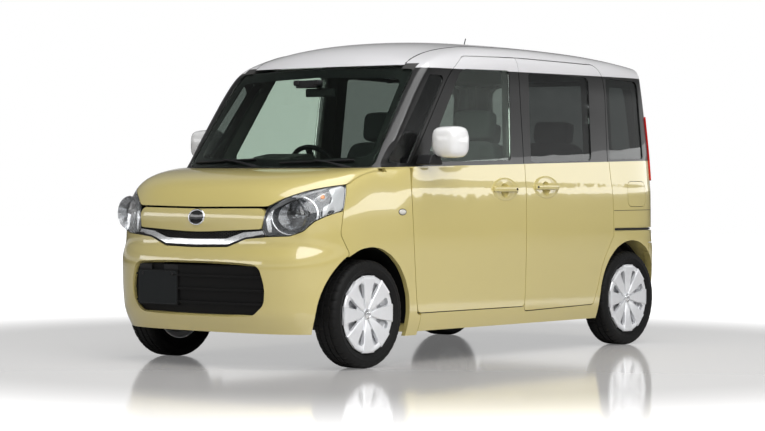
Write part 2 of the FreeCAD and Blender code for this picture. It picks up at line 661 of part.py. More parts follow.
# Floor: front pan with tunnel, kick-up, rear pan and the rear wheel houses.
FLOOR_Z = 232.0
REAR_FLOOR_Z = 418.0
SHEET = 18.0
floor_side = [(-1042, FLOOR_Z - SHEET), (-1042, FLOOR_Z), (800, FLOOR_Z, 20),
              (850, REAR_FLOOR_Z, 30), (1560, REAR_FLOOR_Z), (1560, REAR_FLOOR_Z - SHEET),
              (865, REAR_FLOOR_Z - SHEET, 30), (815, FLOOR_Z - SHEET, 20)]
FLOOR_X = CABIN_WALL_X - SEAT_GAP
floor = prism_x(floor_side, -FLOOR_X, FLOOR_X)
tunnel = prism_y([(-150, FLOOR_Z - 1), (-110, FLOOR_Z + 70, 30), (110, FLOOR_Z + 70, 30),
                  (150, FLOOR_Z - 1)], -1042, 700)
bore = prism_y([(-128, FLOOR_Z - 30), (-95, FLOOR_Z + 54, 24), (95, FLOOR_Z + 54, 24),
                (128, FLOOR_Z - 30)], -1050, 720)
floor = floor.fuse(tunnel).cut(bore)
house = well(WELL_X, FLOOR_X, WELL_RADIUS + 12, REAR_AXLE_Y)
house = house.common(box(500, 620, 800, 1560, REAR_FLOOR_Z - SHEET, 700))
inner_well = well(WELL_X + 12, 700, WELL_RADIUS, REAR_AXLE_Y)
members = [box(x - 35, x + 35, -1042, 790, 160, FLOOR_Z - SHEET / 2) for x in (-470, 470)]
floor = floor.fuse([house, mirrored(house)] + members)
floor = floor.cut([inner_well, mirrored(inner_well), FRONT_WELL, mirrored(FRONT_WELL)])
save("floor_pan", largest(floor))

# Bulkhead, scuttle and front structure: aprons, strut towers, rails and radiator support.
BULKHEAD_Y = -1044.0
TOWER_TOP_Z = 700.0
APRON_X = 384.0
SUPPORT_Y = -1565.0
wall = box(-606, 606, BULKHEAD_Y - 16, BULKHEAD_Y - 1, 190, 940)
scuttle = prism_x([(-1056, 930), (-1120, 930), (-1120, 988, 10), (-1104, 988, 10), (-1104, 948, 8),
                   (-1056, 948)], -608, 608)
side_parts = [box(330, APRON_X, SUPPORT_Y, BULKHEAD_Y - 8, 330, 430),
              box(APRON_X - 12, APRON_X, -1290, BULKHEAD_Y - 8, 400, 860),
              box(APRON_X - 4, 606, -1230, -1085, TOWER_TOP_Z, TOWER_TOP_Z + 16),
              box(APRON_X - 4, 606, -1230, -1216, TOWER_TOP_Z, 850),
              box(APRON_X - 4, 606, -1099, -1085, TOWER_TOP_Z, 850),
              box(560, 606, -1400, BULKHEAD_Y - 8, 800, 850),
              box(330, APRON_X, SUPPORT_Y, SUPPORT_Y + 20, 330, 780)]
structure = [wall, scuttle, box(-340, 340, SUPPORT_Y, SUPPORT_Y + 20, 740, 780),
             box(-340, 340, SUPPORT_Y, SUPPORT_Y + 20, 330, 366)]
structure += side_parts + [mirrored(p) for p in side_parts]
pillar_foot = box(552, 620, -1063, -1040, 930, 1000)
structure = structure[0].fuse(structure[1:])
structure = structure.cut([FRONT_WELL, mirrored(FRONT_WELL), pillar_foot, mirrored(pillar_foot)])
save("front_structure", largest(structure))
radiator = box(-322, 322, SUPPORT_Y + 22, SUPPORT_Y + 56, 372, 734)
save("radiator", radiator)

# Front wheel-house liners.
liner = well(400, 696, LINER_RADIUS, FRONT_AXLE_Y).cut(well(390, 700, LINER_RADIUS - 4.5, FRONT_AXLE_Y))
liner = liner.common(box(400, 700, -1600, -700, HUB_Z - 60, 700))
liner = liner.cut(rod(40, (505, FRONT_AXLE_Y, 580), (505, FRONT_AXLE_Y, 700)))
liner = liner.common(hull(SKIN + 4))
save("wheel_liners", largest(liner), mirrored(largest(liner)))

# Engine and gearbox as one plain block across the nose.
engine = box(-318, 318, -1480, -1110, 250, 690)
save("engine", engine)

# Front suspension: subframe, lower arms and struts; the rear torsion beam with its springs.
KINGPIN_LOW = V(575, FRONT_AXLE_Y, 186)
KINGPIN_HIGH = V(505, FRONT_AXLE_Y, TOWER_TOP_Z)
KINGPIN = (KINGPIN_HIGH - KINGPIN_LOW).normalize()
PIN_R = 11.0
subframe = box(-318, 318, -1105, -1062, 196, 236)


def kingpin_rod(r, start, length):
    return Part.makeCylinder(r, length, KINGPIN_LOW + KINGPIN * start, KINGPIN)


arm = prism_z([(300, -1103), (300, -1064), (560, FRONT_AXLE_Y + 26, 30), (602, FRONT_AXLE_Y + 10, 20),
               (602, FRONT_AXLE_Y - 22, 20), (560, FRONT_AXLE_Y - 26, 30)], 176, 196)
arm = arm.fuse(kingpin_rod(PIN_R, 0, 48))
strut = kingpin_rod(PIN_R, 262, (KINGPIN_HIGH - KINGPIN_LOW).Length - 262)
strut = strut.fuse(kingpin_rod(26, 330, 150))
strut = strut.common(box(400, 700, -1300, -1000, 0, TOWER_TOP_Z - SEAT_GAP))
save("front_suspension", subframe.fuse([arm, mirrored(arm)]), strut, mirrored(strut))

SPINDLE_R = 20.0


def knuckle():
    post = kingpin_rod(19, 20, 268)
    disc = well(620, 632, 112, FRONT_AXLE_Y)
    stub = rod(SPINDLE_R, (560, FRONT_AXLE_Y, HUB_Z), (FRONT_TRACK / 2 + 28, FRONT_AXLE_Y, HUB_Z))
    low = kingpin_rod(PIN_R + RUNNING_FIT, 0, 50)
    high = kingpin_rod(PIN_R + RUNNING_FIT, 258, 60)
    return post.fuse([disc, stub]).cut([low, high])


knuckle_left = knuckle()
save("knuckle_left", knuckle_left)
save("knuckle_right", mirrored(knuckle_left))

beam = prism_x([(REAR_AXLE_Y - 330, HUB_Z - 40, 20), (REAR_AXLE_Y - 330, HUB_Z + 30, 20),
                (REAR_AXLE_Y - 250, HUB_Z + 30, 20), (REAR_AXLE_Y - 250, HUB_Z - 40, 20)], -520, 520)
axle_parts = []
for side in (-1, 1):
    arm = prism_x([(REAR_AXLE_Y - 420, HUB_Z - 20, 18), (REAR_AXLE_Y - 420, HUB_Z + 26, 18),
                   (REAR_AXLE_Y + 50, HUB_Z + 40, 30), (REAR_AXLE_Y + 50, HUB_Z - 40, 30)],
                  *sorted((470 * side, 520 * side)))
    plate = well(*sorted((520 * side, 556 * side)), 60, REAR_AXLE_Y)
    drum = well(*sorted((556 * side, 612 * side)), 112, REAR_AXLE_Y)
    stub = rod(SPINDLE_R, (600 * side, REAR_AXLE_Y, HUB_Z),
               ((REAR_TRACK / 2 + 28) * side, REAR_AXLE_Y, HUB_Z))
    damper = rod(22, (495 * side, REAR_AXLE_Y + 20, HUB_Z), (495 * side, REAR_AXLE_Y + 20, 399))
    axle_parts += [arm, plate, drum, stub, damper]
save("rear_axle", beam.fuse(axle_parts))

# Wheels: tyre, steel rim and pressed cover with eight vents.
SEAT_R = RIM_SEAT_DIAMETER / 2
TYRE_R = TYRE_DIAMETER / 2
TYRE_HALF = 77.5
BEAD_HALF = 57.5
TREAD_HALF = 56.0
tyre_profile = [(SEAT_R + SEAT_GAP, -BEAD_HALF), (202, -BEAD_HALF), (243, -TYRE_HALF), (TYRE_R, -TREAD_HALF),
                (TYRE_R, TREAD_HALF), (243, TYRE_HALF), (202, BEAD_HALF), (SEAT_R + SEAT_GAP, BEAD_HALF)]
barrel = [(SEAT_R, -58, 2), (SEAT_R, -40, 6), (150, -30, 8), (150, 30, 8), (SEAT_R, 40, 6),
          (SEAT_R, 58, 2), (SEAT_R - 6, 58, 2), (SEAT_R - 6, 44, 6), (144, 34, 8), (144, -34, 8),
          (SEAT_R - 6, -44, 6), (SEAT_R - 6, -58, 2)]
cover = [(0, 52), (0, 57), (26, 57, 3), (34, 52, 6), (80, 57, 60), (150, 66, 80),
         (COVER_RADIUS - 8, 72, 8), (COVER_RADIUS, 66, 4), (COVER_RADIUS, 62), (170, 62, 10),
         (150, 60, 60), (80, 51, 60), (34, 46, 6), (0, 46)]
web = [(0, 22), (0, 30), (146, 30), (146, 22)]
HUB_BORE = SPINDLE_R + RUNNING_FIT


def wheel():
    tyre = ring(tyre_profile, 0)
    body = ring(barrel, 0).fuse(ring(web, 0))
    face = ring(cover, 0)
    cuts = []
    for i in range(8):
        s = wire([(84, -7, 6), (84, 7, 6), (142, 24, 12), (168, 16, 12), (168, -16, 12),
                  (142, -24, 12)], lambda r, w: V(30, w, r))
        s = Part.Face(s).extrude(V(60, 0, 0))
        s.rotate(V(0, 0, 0), V(1, 0, 0), 45 * i + 22.5)
        cuts.append(s)
    face = face.cut(cuts)
    tie = ring([(174.5, 52), (174.5, 66), (171.5, 66), (171.5, 52)], 0)
    post = Part.makeCylinder(30, 30, V(22, 0, 0), V(1, 0, 0))
    body = body.fuse([face, tie, post]).cut(Part.makeCylinder(HUB_BORE, 90, V(-60, 0, 0), V(1, 0, 0)))
    return tyre, body


tyre, disc_wheel = wheel()
for name, x, y in (("front_left", FRONT_TRACK / 2, FRONT_AXLE_Y), ("rear_left", REAR_TRACK / 2, REAR_AXLE_Y)):
    for piece, label in ((tyre, "tyre_"), (disc_wheel, "wheel_")):
        p = piece.copy()
        p.translate(V(x, y, HUB_Z))
        save(label + name, p)
        save(label + name.replace("left", "right"), mirrored(p))

# Fuel tank and exhaust.
tank = box(-420, 60, 250, 760, 150, 212)
tank = tank.makeFillet(20, tank.Edges)
save("fuel_tank", tank)
pipe = Part.makeCylinder(20, 2090, V(95, -1040, 190), V(0, 1, 0))
silencer = Part.makeCylinder(72, 340, V(-170, 1540, 305), V(1, 0, 0))
link = rod(20, (95, 1045, 190), (95, 1540, 305))
save("exhaust", pipe.fuse([link, silencer]))

# Dashboard with its column, steering wheel, seats.
DASH_X = 596.0
dash = prism_x([(-1030, 700), (-1030, 955, 20), (-1004, 982, 20), (-820, 1028, 160), (-640, 1040, 60),
                (-572, 1002, 40), (-548, 900, 60), (-590, 770, 60), (-600, 640, 40), (-700, 600, 30),
                (-880, 640, 60)], -DASH_X, DASH_X)
COLUMN_X = -330.0
binnacle = prism_x([(-760, 1000), (-700, 1078, 50), (-560, 1102, 30), (-534, 1062, 30), (-560, 980)],
                   COLUMN_X - 150, COLUMN_X + 150)
WHEEL_CENTRE = (COLUMN_X, -330.0, 980.0)
COLUMN_TILT = 27.0
ct = math.radians(COLUMN_TILT)
axis = V(0, math.cos(ct), math.sin(ct))
centre = V(*WHEEL_CENTRE)
shroud = Part.makeCylinder(40, 270, centre - axis * 310, axis)
shaft = Part.makeCylinder(11, 109, centre - axis * 110, axis)
dash = dash.fuse([binnacle, shroud, shaft])
save("dashboard", largest(dash))
rim = Part.makeTorus(178, 14, centre, axis)
boss = Part.makeCylinder(58, 40, centre - axis * 34, axis)
spokes = []
for a in (0, 180, 270):
    spoke = box(30, 176, -16, 16, -10, 8)
    spoke.rotate(V(0, 0, 0), V(0, 0, 1), a)
    spoke.rotate(V(0, 0, 0), V(1, 0, 0), -(90 - COLUMN_TILT))
    spoke.translate(centre)
    spokes.append(spoke)
steer = rim.fuse([boss] + spokes)
steer = steer.cut(Part.makeCylinder(11 + RUNNING_FIT, 60, centre - axis * 60, axis))
save("steering_wheel", largest(steer))


def seat(x0, x1, y, z):
    cushion = prism_x([(y - 260, z - 60, 40), (y - 260, z + 90, 60), (y + 230, z + 60, 40),
                       (y + 230, z - 60, 40)], x0, x1)
    back = prism_x([(y + 150, z + 40, 40), (y + 330, z + 560, 60), (y + 350, z + 800, 40),
                    (y + 440, z + 800, 40), (y + 420, z + 560, 60), (y + 290, z + 20, 40)],
                   x0 + 20, x1 - 20)
    narrow = prism_y([(x0 + 20, 0), (x0 + 20, z + 520, 60), (x0 + 130, z + 640, 60),
                      (x0 + 130, z + 850, 50), (x1 - 130, z + 850, 50), (x1 - 130, z + 640, 60),
                      (x1 - 20, z + 520, 60), (x1 - 20, 0)], y - 300, y + 500)
    base = box(x0 + 60, x1 - 60, y - 200, y + 200, FLOOR_Z, z - 50)
    return cushion.fuse([back.common(narrow), base])


front = seat(90, 560, -150, 470)
save("front_seats", front, mirrored(front))
rear = seat(10, 520, 760, 500).cut(box(0, 600, 500, 1500, 0, REAR_FLOOR_Z))
save("rear_seat", rear, mirrored(rear))

# Small outside pieces.
ANTENNA_FOOT = V(-430, 1140, 1690)
save("antenna", rod(3, (-430, 1140, 1700), (-430, 1190, 1835)))
WIPERS = [[(-600, 1034, 4), (-120, 1052, 4), (-120, 1062, 4), (-600, 1046, 4)],
          [(60, 1030, 4), (520, 1046, 4), (520, 1056, 4), (60, 1042, 4)]]
save("wipers", *[layer(loaf, -13, -3, prism_y(w, -1300, -900)) for w in WIPERS])
SCREEN_INSIDE = GLASS_DEPTH + GLASS_THICKNESS + SEAT_GAP
camera_block = layer(loaf, SCREEN_INSIDE, SCREEN_INSIDE + 42, box(-150, 60, -800, -690, 1380, 1520))
stalk = rod(9, (0, -742, 1440), (0, -690, 1405))
inner_mirror = box(-115, 115, -700, -676, 1372, 1432)
inner_mirror = inner_mirror.makeFillet(10, inner_mirror.Edges)
save("inner_mirror", camera_block.fuse([stalk, inner_mirror]))

# Cowl cover between the bonnet's rear edge and the screen.
COWL_COVER = [(-600, -1066), (-600, -1078), (-350, -1122, 900), (0, -1138, 3000), (350, -1122, 900),
              (600, -1078), (600, -1066)]
save("cowl_cover", prism_z(COWL_COVER, 988 + SEAT_GAP, 992))
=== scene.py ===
import math

import bmesh
import bpy
from mathutils import Matrix, Vector
from mathutils.bvhtree import BVHTree


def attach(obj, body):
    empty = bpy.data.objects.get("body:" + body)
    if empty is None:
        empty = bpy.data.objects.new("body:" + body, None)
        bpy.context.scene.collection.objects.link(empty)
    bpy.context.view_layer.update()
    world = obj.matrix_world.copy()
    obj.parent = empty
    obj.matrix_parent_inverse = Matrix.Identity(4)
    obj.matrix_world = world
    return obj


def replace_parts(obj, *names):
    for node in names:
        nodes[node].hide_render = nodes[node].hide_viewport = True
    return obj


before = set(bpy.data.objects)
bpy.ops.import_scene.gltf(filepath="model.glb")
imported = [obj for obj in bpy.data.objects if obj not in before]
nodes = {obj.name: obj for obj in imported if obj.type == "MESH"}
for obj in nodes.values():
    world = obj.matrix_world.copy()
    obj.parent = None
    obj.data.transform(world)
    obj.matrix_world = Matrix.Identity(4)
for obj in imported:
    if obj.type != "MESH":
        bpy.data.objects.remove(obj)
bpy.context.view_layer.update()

SIDES = ((1, "left"), (-1, "right"))

# Camera: a long lens at headlamp height, ahead of the left front wheel.
# It looks along the photograph's direction, with a slight roll.
CAMERA_PLACE = Vector((7.9666, -10.0884, 0.9131))
CAMERA_AZIMUTH = math.radians(38.729)
CAMERA_DOWN = math.radians(0.69)
CAMERA_ROLL = math.radians(0.292)
SENSOR_WIDTH = 36.0
LENS = 107.27


def placed(name, data):
    """New object that holds the data, linked to the scene."""
    item = bpy.data.objects.new(name, data)
    bpy.context.scene.collection.objects.link(item)
    return item


camera_data = bpy.data.cameras.new("camera")
camera_data.sensor_width = SENSOR_WIDTH
camera_data.lens = LENS
camera_data.clip_end = 100.0
camera = placed("camera", camera_data)
forward = Vector((-math.sin(CAMERA_AZIMUTH) * math.cos(CAMERA_DOWN),
                  math.cos(CAMERA_AZIMUTH) * math.cos(CAMERA_DOWN), -math.sin(CAMERA_DOWN)))
level = Vector((math.cos(CAMERA_AZIMUTH), math.sin(CAMERA_AZIMUTH), 0))
right = level * math.cos(CAMERA_ROLL) + level.cross(forward) * math.sin(CAMERA_ROLL)
turn = Matrix((right, right.cross(forward), -forward)).transposed().to_4x4()
camera.matrix_world = Matrix.Translation(CAMERA_PLACE) @ turn
bpy.context.scene.camera = camera
bpy.context.scene.view_settings.view_transform = "Standard"

# Studio: a glossy pale floor under four soft boxes. The lens sees white all round, and so does
# glass near the horizon; paint and metal reflect a dim room whose walls follow SKY_PROFILE.
FLOOR_SIZE = 60.0
FLOOR_GREY = (0.60, 0.585, 0.575, 1)
FLOOR_FADE = (2.6, 5.0)
FLOOR_GLOW = (0.12, 1.0)
WHITE = (1, 1, 1, 1)
GLASS_SKY = (0.22, 0.34)
SKY_PROFILE = [(0.0, 0.05), (1.0, 0.10), (0.02, 0.06), (0.04, 0.55), (0.10, 0.55), (0.15, 0.22), (0.5, 0.22),
               (0.62, 0.07)]
SOFT_BOXES = {"top": ((2.6, -1.5, 7.0), (2.0, -1.4, 0), (7.0, 8.0), 470),
              "key": ((8.5, -5.5, 6.6), (0.3, -0.4, 0.8), (10.0, 6.5), 780),
              "front": ((-6.5, -9.5, 2.5), (0, -1.4, 0.8), (11.0, 1.3), 120),
              "side": ((7.8, 9.0, 1.75), (0.7, 0.2, 0.9), (14.0, 0.8), 90)}


def fill(tree, node, inputs):
    """Give a node's sockets plain values, or links from other sockets."""
    for label, value in inputs.items():
        if isinstance(value, bpy.types.NodeSocket):
            tree.links.new(value, node.inputs[label])
        else:
            node.inputs[label].default_value = value
    return node


def add(tree, kind, inputs=None, **settings):
    """New shader node of a kind, with its settings made before its inputs are filled."""
    node = tree.nodes.new("ShaderNode" + kind)
    for name, value in settings.items():
        setattr(node, name, value)
    return fill(tree, node, inputs or {})


def calc(tree, operation, *terms, clamp=False):
    """Output of a Math node on numbers or sockets."""
    return add(tree, "Math", dict(enumerate(terms)), operation=operation, use_clamp=clamp).outputs[0]


def new_material(name):
    material = bpy.data.materials.new(name)
    material.use_nodes = True
    tree = material.node_tree
    return material, tree, tree.nodes["Principled BSDF"]


for label, (place, aim, size, power) in SOFT_BOXES.items():
    data = bpy.data.lights.new("soft_box_" + label, "AREA")
    data.shape = "RECTANGLE"
    data.size, data.size_y = size
    data.energy = power
    lamp = placed("soft_box_" + label, data)
    lamp.location = place
    lamp.rotation_euler = (Vector(aim) - Vector(place)).to_track_quat("-Z", "Y").to_euler()

world = bpy.data.worlds.new("studio")
bpy.context.scene.world = world
world.use_nodes = True
tree = world.node_tree
rays = add(tree, "LightPath").outputs
rise = add(tree, "SeparateXYZ", {0: add(tree, "TexCoord").outputs["Generated"]}).outputs["Z"]
near_horizon = add(tree, "MapRange", {"Value": rise, "From Min": GLASS_SKY[0], "From Max": GLASS_SKY[1],
                                      "To Min": 1.0, "To Max": 0.0}).outputs["Result"]
through = calc(tree, "MULTIPLY", rays["Is Transmission Ray"], near_horizon)
sees_white = calc(tree, "MAXIMUM", rays["Is Camera Ray"], through)
room = add(tree, "FloatCurve", {"Value": rise})
curve = room.mapping.curves[0]
for point, spot in zip(curve.points, SKY_PROFILE[:2]):
    point.location = spot
for spot in SKY_PROFILE[2:]:
    curve.points.new(*spot)
room.mapping.update()
strength = add(tree, "MapRange", {"Value": sees_white, "To Min": room.outputs["Value"], "To Max": 1.0})
fill(tree, tree.nodes["Background"], {"Color": WHITE, "Strength": strength.outputs["Result"]})

sweep = bmesh.new()
bmesh.ops.create_grid(sweep, x_segments=1, y_segments=1, size=FLOOR_SIZE / 2)
floor_mesh = bpy.data.meshes.new("floor")
sweep.to_mesh(floor_mesh)
sweep.free()
floor = placed("floor", floor_mesh)
floor_material, tree, shader = new_material("studio floor")
reach = add(tree, "VectorMath", {0: add(tree, "TexCoord").outputs["Object"]}, operation="LENGTH")
fade = add(tree, "MapRange",
           {"Value": reach.outputs["Value"], "From Min": FLOOR_FADE[0], "From Max": FLOOR_FADE[1],
                              "To Min": FLOOR_GLOW[0], "To Max": FLOOR_GLOW[1]},
           interpolation_type="SMOOTHSTEP")
glow = calc(tree, "MULTIPLY", add(tree, "LightPath").outputs["Is Camera Ray"], fade.outputs["Result"])
fill(tree, shader, {"Base Color": FLOOR_GREY, "Roughness": 0.09, "Specular IOR Level": 0.9,
                    "Emission Color": WHITE, "Emission Strength": glow})
floor.data.materials.append(floor_material)

# Painted shell: pressed steel panels in pale cream yellow under the belt line, gloss black
# window surrounds above it and a white band and roof. Clear coat over a fine pearl base.
CREAM = (0.60, 0.505, 0.185, 1)
ROOF_WHITE = (0.72, 0.715, 0.73, 1)
FRAME_BLACK = (0.006, 0.006, 0.006, 1)
# Inner trim colour: partly the trim's own dark grey, partly painted shade for the dim cabin.
CABIN_TRIM_AND_PAINTED_SHADE = (0.035, 0.034, 0.033, 1)
WORN_EDGE = (0.55, 0.55, 0.54, 1)
BELT_HEIGHT = 1.0443
BELT_SLOPE = 0.0262
WHITE_HEIGHT = 1.5545
WHITE_SLOPE = 0.012
LINE_BLUR = 0.0006
RAIL_HEIGHT = 1.572
CABIN_HEIGHTS = (1.0, 1.6)
PAINT_ROUGHNESS = 0.32
TRIM_ROUGHNESS = 0.65
BLACK_COAT_LOSS = 0.7


def new_group(name, inputs, outputs):
    """Node group with (name, type, default) inputs and (name, type) outputs."""
    group = bpy.data.node_groups.new(name, "ShaderNodeTree")
    for label, kind, default in inputs:
        socket = group.interface.new_socket(label, in_out="INPUT", socket_type="NodeSocket" + kind)
        socket.default_value = default
    for label, kind in outputs:
        group.interface.new_socket(label, in_out="OUTPUT", socket_type="NodeSocket" + kind)
    entry = group.nodes.new("NodeGroupInput")
    return group, entry.outputs, group.nodes.new("NodeGroupOutput")


def mix_colour(tree, factor, a, b):
    return add(tree, "Mix", {0: factor, 6: a, 7: b}, data_type="RGBA").outputs[2]


def object_noise(tree, scale, detail=3.0):
    place = add(tree, "TexCoord").outputs["Object"]
    return add(tree, "TexNoise", {"Detail": detail, "Scale": scale, "Vector": place}).outputs["Fac"]


def toned(tree, colour, value):
    return add(tree, "HueSaturation", {"Value": value, "Color": colour}).outputs["Color"]


def build_edge_wear():
    """Mask of the sharp edges, broken up by noise."""
    group, given, out = new_group("edge wear", [("Width", "Float", 0.002), ("Amount", "Float", 0.3)],
                                  [("Mask", "Float")])
    bevel = add(group, "Bevel", {"Radius": given["Width"]}, samples=4)
    shape = add(group, "NewGeometry")
    dot = add(group, "VectorMath", {0: bevel.outputs["Normal"], 1: shape.outputs["Normal"]},
              operation="DOT_PRODUCT")
    edge = calc(group, "SUBTRACT", 1.0, dot.outputs["Value"], clamp=True)
    broken = calc(group, "MULTIPLY", edge, calc(group, "MULTIPLY", object_noise(group, 60.0), 4.0))
    fill(group, out, {"Mask": calc(group, "MULTIPLY", broken, given["Amount"], clamp=True)})
    return group


def build_surface():
    """Fine colour and roughness variation with a bump height, for any moulded or cast finish."""
    group, given, out = new_group(
        "surface", [("Colour", "Color", (0.5, 0.5, 0.5, 1)), ("Scale", "Float", 40.0),
                    ("Variation", "Float", 0.1), ("Roughness", "Float", 0.5), ("Wear", "Float", 0.3)],
        [("Colour", "Color"), ("Roughness", "Float"), ("Height", "Float")])
    cloud = object_noise(group, given["Scale"])
    fine = object_noise(group, calc(group, "MULTIPLY", given["Scale"], 14.0), 2.0)
    swing = calc(group, "MULTIPLY", calc(group, "SUBTRACT", cloud, 0.5), given["Variation"])
    varied = toned(group, given["Colour"], calc(group, "ADD", 1.0, swing))
    edge = add(group, "Group", {"Amount": given["Wear"]}, node_tree=EDGE_WEAR)
    rough = calc(group, "ADD", given["Roughness"], calc(group, "MULTIPLY", swing, 0.8), clamp=True)
    fill(group, out,
         {"Colour": mix_colour(group, edge.outputs["Mask"], varied, WORN_EDGE), "Roughness": rough,
                      "Height": fine})
    return group


def build_shell_zones():
    """Paint colour by place: cream, black surround, white band, and grey trim inside, its dark grey partly
    painted cabin shade.
    """
    group, given, out = new_group(
        "shell zones",
        [("Inner Low", "Float", 0.69), ("Inner High", "Float", 0.63), ("Tail Limit", "Float", 1.0)],
        [("Colour", "Color"), ("Coat", "Float"), ("Roughness", "Float")])
    x, y, z = add(group, "SeparateXYZ", {0: add(group, "TexCoord").outputs["Object"]}).outputs

    def above(base, slope):
        line = calc(group, "ADD", calc(group, "MULTIPLY", y, slope), base)
        return calc(group, "DIVIDE", calc(group, "SUBTRACT", z, line), LINE_BLUR, clamp=True)

    def rest(share):
        return calc(group, "SUBTRACT", 1.0, share)

    black = above(BELT_HEIGHT, BELT_SLOPE)
    white = above(WHITE_HEIGHT, WHITE_SLOPE)
    paint = mix_colour(group, white, mix_colour(group, black, CREAM, FRAME_BLACK), ROOF_WHITE)
    limit = add(group, "MapRange", {"Value": z, "From Min": CABIN_HEIGHTS[0], "From Max": CABIN_HEIGHTS[1],
                                    "To Min": given["Inner Low"], "To Max": given["Inner High"]})
    inside = calc(group, "LESS_THAN", calc(group, "ABSOLUTE", x), limit.outputs["Result"])
    for low, high in ((y, given["Tail Limit"]), (z, RAIL_HEIGHT)):
        inside = calc(group, "MULTIPLY", inside, calc(group, "LESS_THAN", low, high))
    cloud = calc(group, "MULTIPLY", object_noise(group, 3.0), 0.03)
    pearl = calc(group, "MULTIPLY", object_noise(group, 900.0, 1.0), 0.05)
    paint = toned(group, paint, calc(group, "ADD", 0.96, calc(group, "ADD", cloud, pearl)))
    dark = calc(group, "MULTIPLY", calc(group, "MULTIPLY", black, rest(white)), BLACK_COAT_LOSS)
    trim = calc(group, "MULTIPLY", inside, TRIM_ROUGHNESS - PAINT_ROUGHNESS)
    # Inside the cabin the paint gives way to dark grey trim, partly painted shade.
    fill(group, out, {"Colour": mix_colour(group, inside, paint, CABIN_TRIM_AND_PAINTED_SHADE),
                      "Coat": calc(group, "MULTIPLY", rest(inside), rest(dark)),
                      "Roughness": calc(group, "ADD", PAINT_ROUGHNESS, trim)})
    return group


EDGE_WEAR = build_edge_wear()
SURFACE = build_surface()
SHELL_ZONES = build_shell_zones()


def shell_paint(name, inner_low, inner_high, tail_limit):
    """Paint whose grey trim, dark as painted cabin shade, begins at a half-width, low and high in the cabin,
    ahead of a limit.
    """
    material, tree, shader = new_material(name)
    zones = add(tree, "Group", {"Inner Low": inner_low, "Inner High": inner_high, "Tail Limit": tail_limit},
                node_tree=SHELL_ZONES).outputs
    peel = add(tree, "Bump", {"Distance": 0.00002, "Height": object_noise(tree, 260.0, 1.0)})
    fill(tree, shader,
         {"Base Color": zones["Colour"], "Coat Weight": zones["Coat"], "Roughness": zones["Roughness"],
                        "Coat Roughness": 0.02, "Coat IOR": 1.8, "Normal": peel.outputs["Normal"]})
    return material


def finish(name, colour, roughness, slot="black_plastic", scale=40.0, variation=0.2, bump=0.0002, wear=0.15,
           **shader_values):
    """Material with the surface group's variation; shader values go on plain sockets."""
    material, tree, shader = new_material(name)
    surface = add(tree, "Group", {"Colour": (*colour, 1), "Scale": scale, "Variation": variation,
                                  "Roughness": roughness, "Wear": wear}, node_tree=SURFACE).outputs
    relief = add(tree, "Bump", {"Distance": bump, "Height": surface["Height"]})
    fill(tree, shader, {"Base Color": surface["Colour"], "Roughness": surface["Roughness"],
                        "Normal": relief.outputs["Normal"]})
    fill(tree, shader, {label.replace("_", " "): value for label, value in shader_values.items()})
    return material


def dress(material, *names, smooth_angle=28.0):
    """Give CAD nodes their material and smooth shading across their merged facets."""
    for name in names:
        item = nodes[name]
        item.data.materials.clear()
        item.data.materials.append(material)
        weld = item.modifiers.new("merge", "WELD")
        weld.merge_threshold = 0.00002
        item.data.polygons.foreach_set("use_smooth", [True] * len(item.data.polygons))
        split_edges = item.modifiers.new("crease", "EDGE_SPLIT")
        split_edges.split_angle = math.radians(smooth_angle)
        split_edges.use_edge_sharp = False


FRAME_PAINT = shell_paint("frame paint", 0.625, 0.60, 1.60)
DOOR_PAINT = shell_paint("door paint", 0.692, 0.632, 3.0)
PANEL_PAINT = shell_paint("panel paint", -1.0, -1.0, 3.0)
dress(FRAME_PAINT, "side_frame_left", "side_frame_right")
dress(DOOR_PAINT, "door_front_left", "door_front_right", "door_rear_left", "door_rear_right")
dress(PANEL_PAINT, "hood", "fender_left", "fender_right", "nose_panel", "front_bumper", "rear_bumper",
      "fuel_lid",
      "tailgate", "roof_panel")

# Glazing: laminated green-tinted screen and front side glass, dark privacy glass behind.
# Each pane is pressed to the body's curve and bonded or guided in its opening.


def glazing(name, tint, shade):
    """Solid glass with thin-wall shadows, so that daylight reaches the cabin."""
    material, tree, shader = new_material(name)
    fill(tree, shader, {"Base Color": tint, "Transmission Weight": 1.0, "IOR": 1.45,
                        "Roughness": calc(tree, "MULTIPLY", object_noise(tree, 9.0), 0.012)})
    clear = add(tree, "BsdfTransparent", {"Color": shade})
    blend = add(tree, "MixShader", {0: add(tree, "LightPath").outputs["Is Shadow Ray"], 1: shader.outputs[0],
                                    2: clear.outputs[0]})
    fill(tree, tree.nodes["Material Output"], {"Surface": blend.outputs[0]})
    return material


GREEN_GLASS = glazing("green glass", (0.64, 0.73, 0.66, 1), (0.6, 0.7, 0.65, 1))
PRIVACY_GLASS = glazing("privacy glass", (0.16, 0.175, 0.17, 1), (0.2, 0.22, 0.21, 1))
LENS_GLASS = glazing("lamp cover", (0.97, 0.98, 0.98, 1), (0.92, 0.93, 0.93, 1))
dress(GREEN_GLASS, "windscreen", "door_glass_left", "door_glass_right")
dress(PRIVACY_GLASS, "rear_door_glass", "quarter_glass", "tailgate_glass")
dress(LENS_GLASS, "headlamp_lenses")

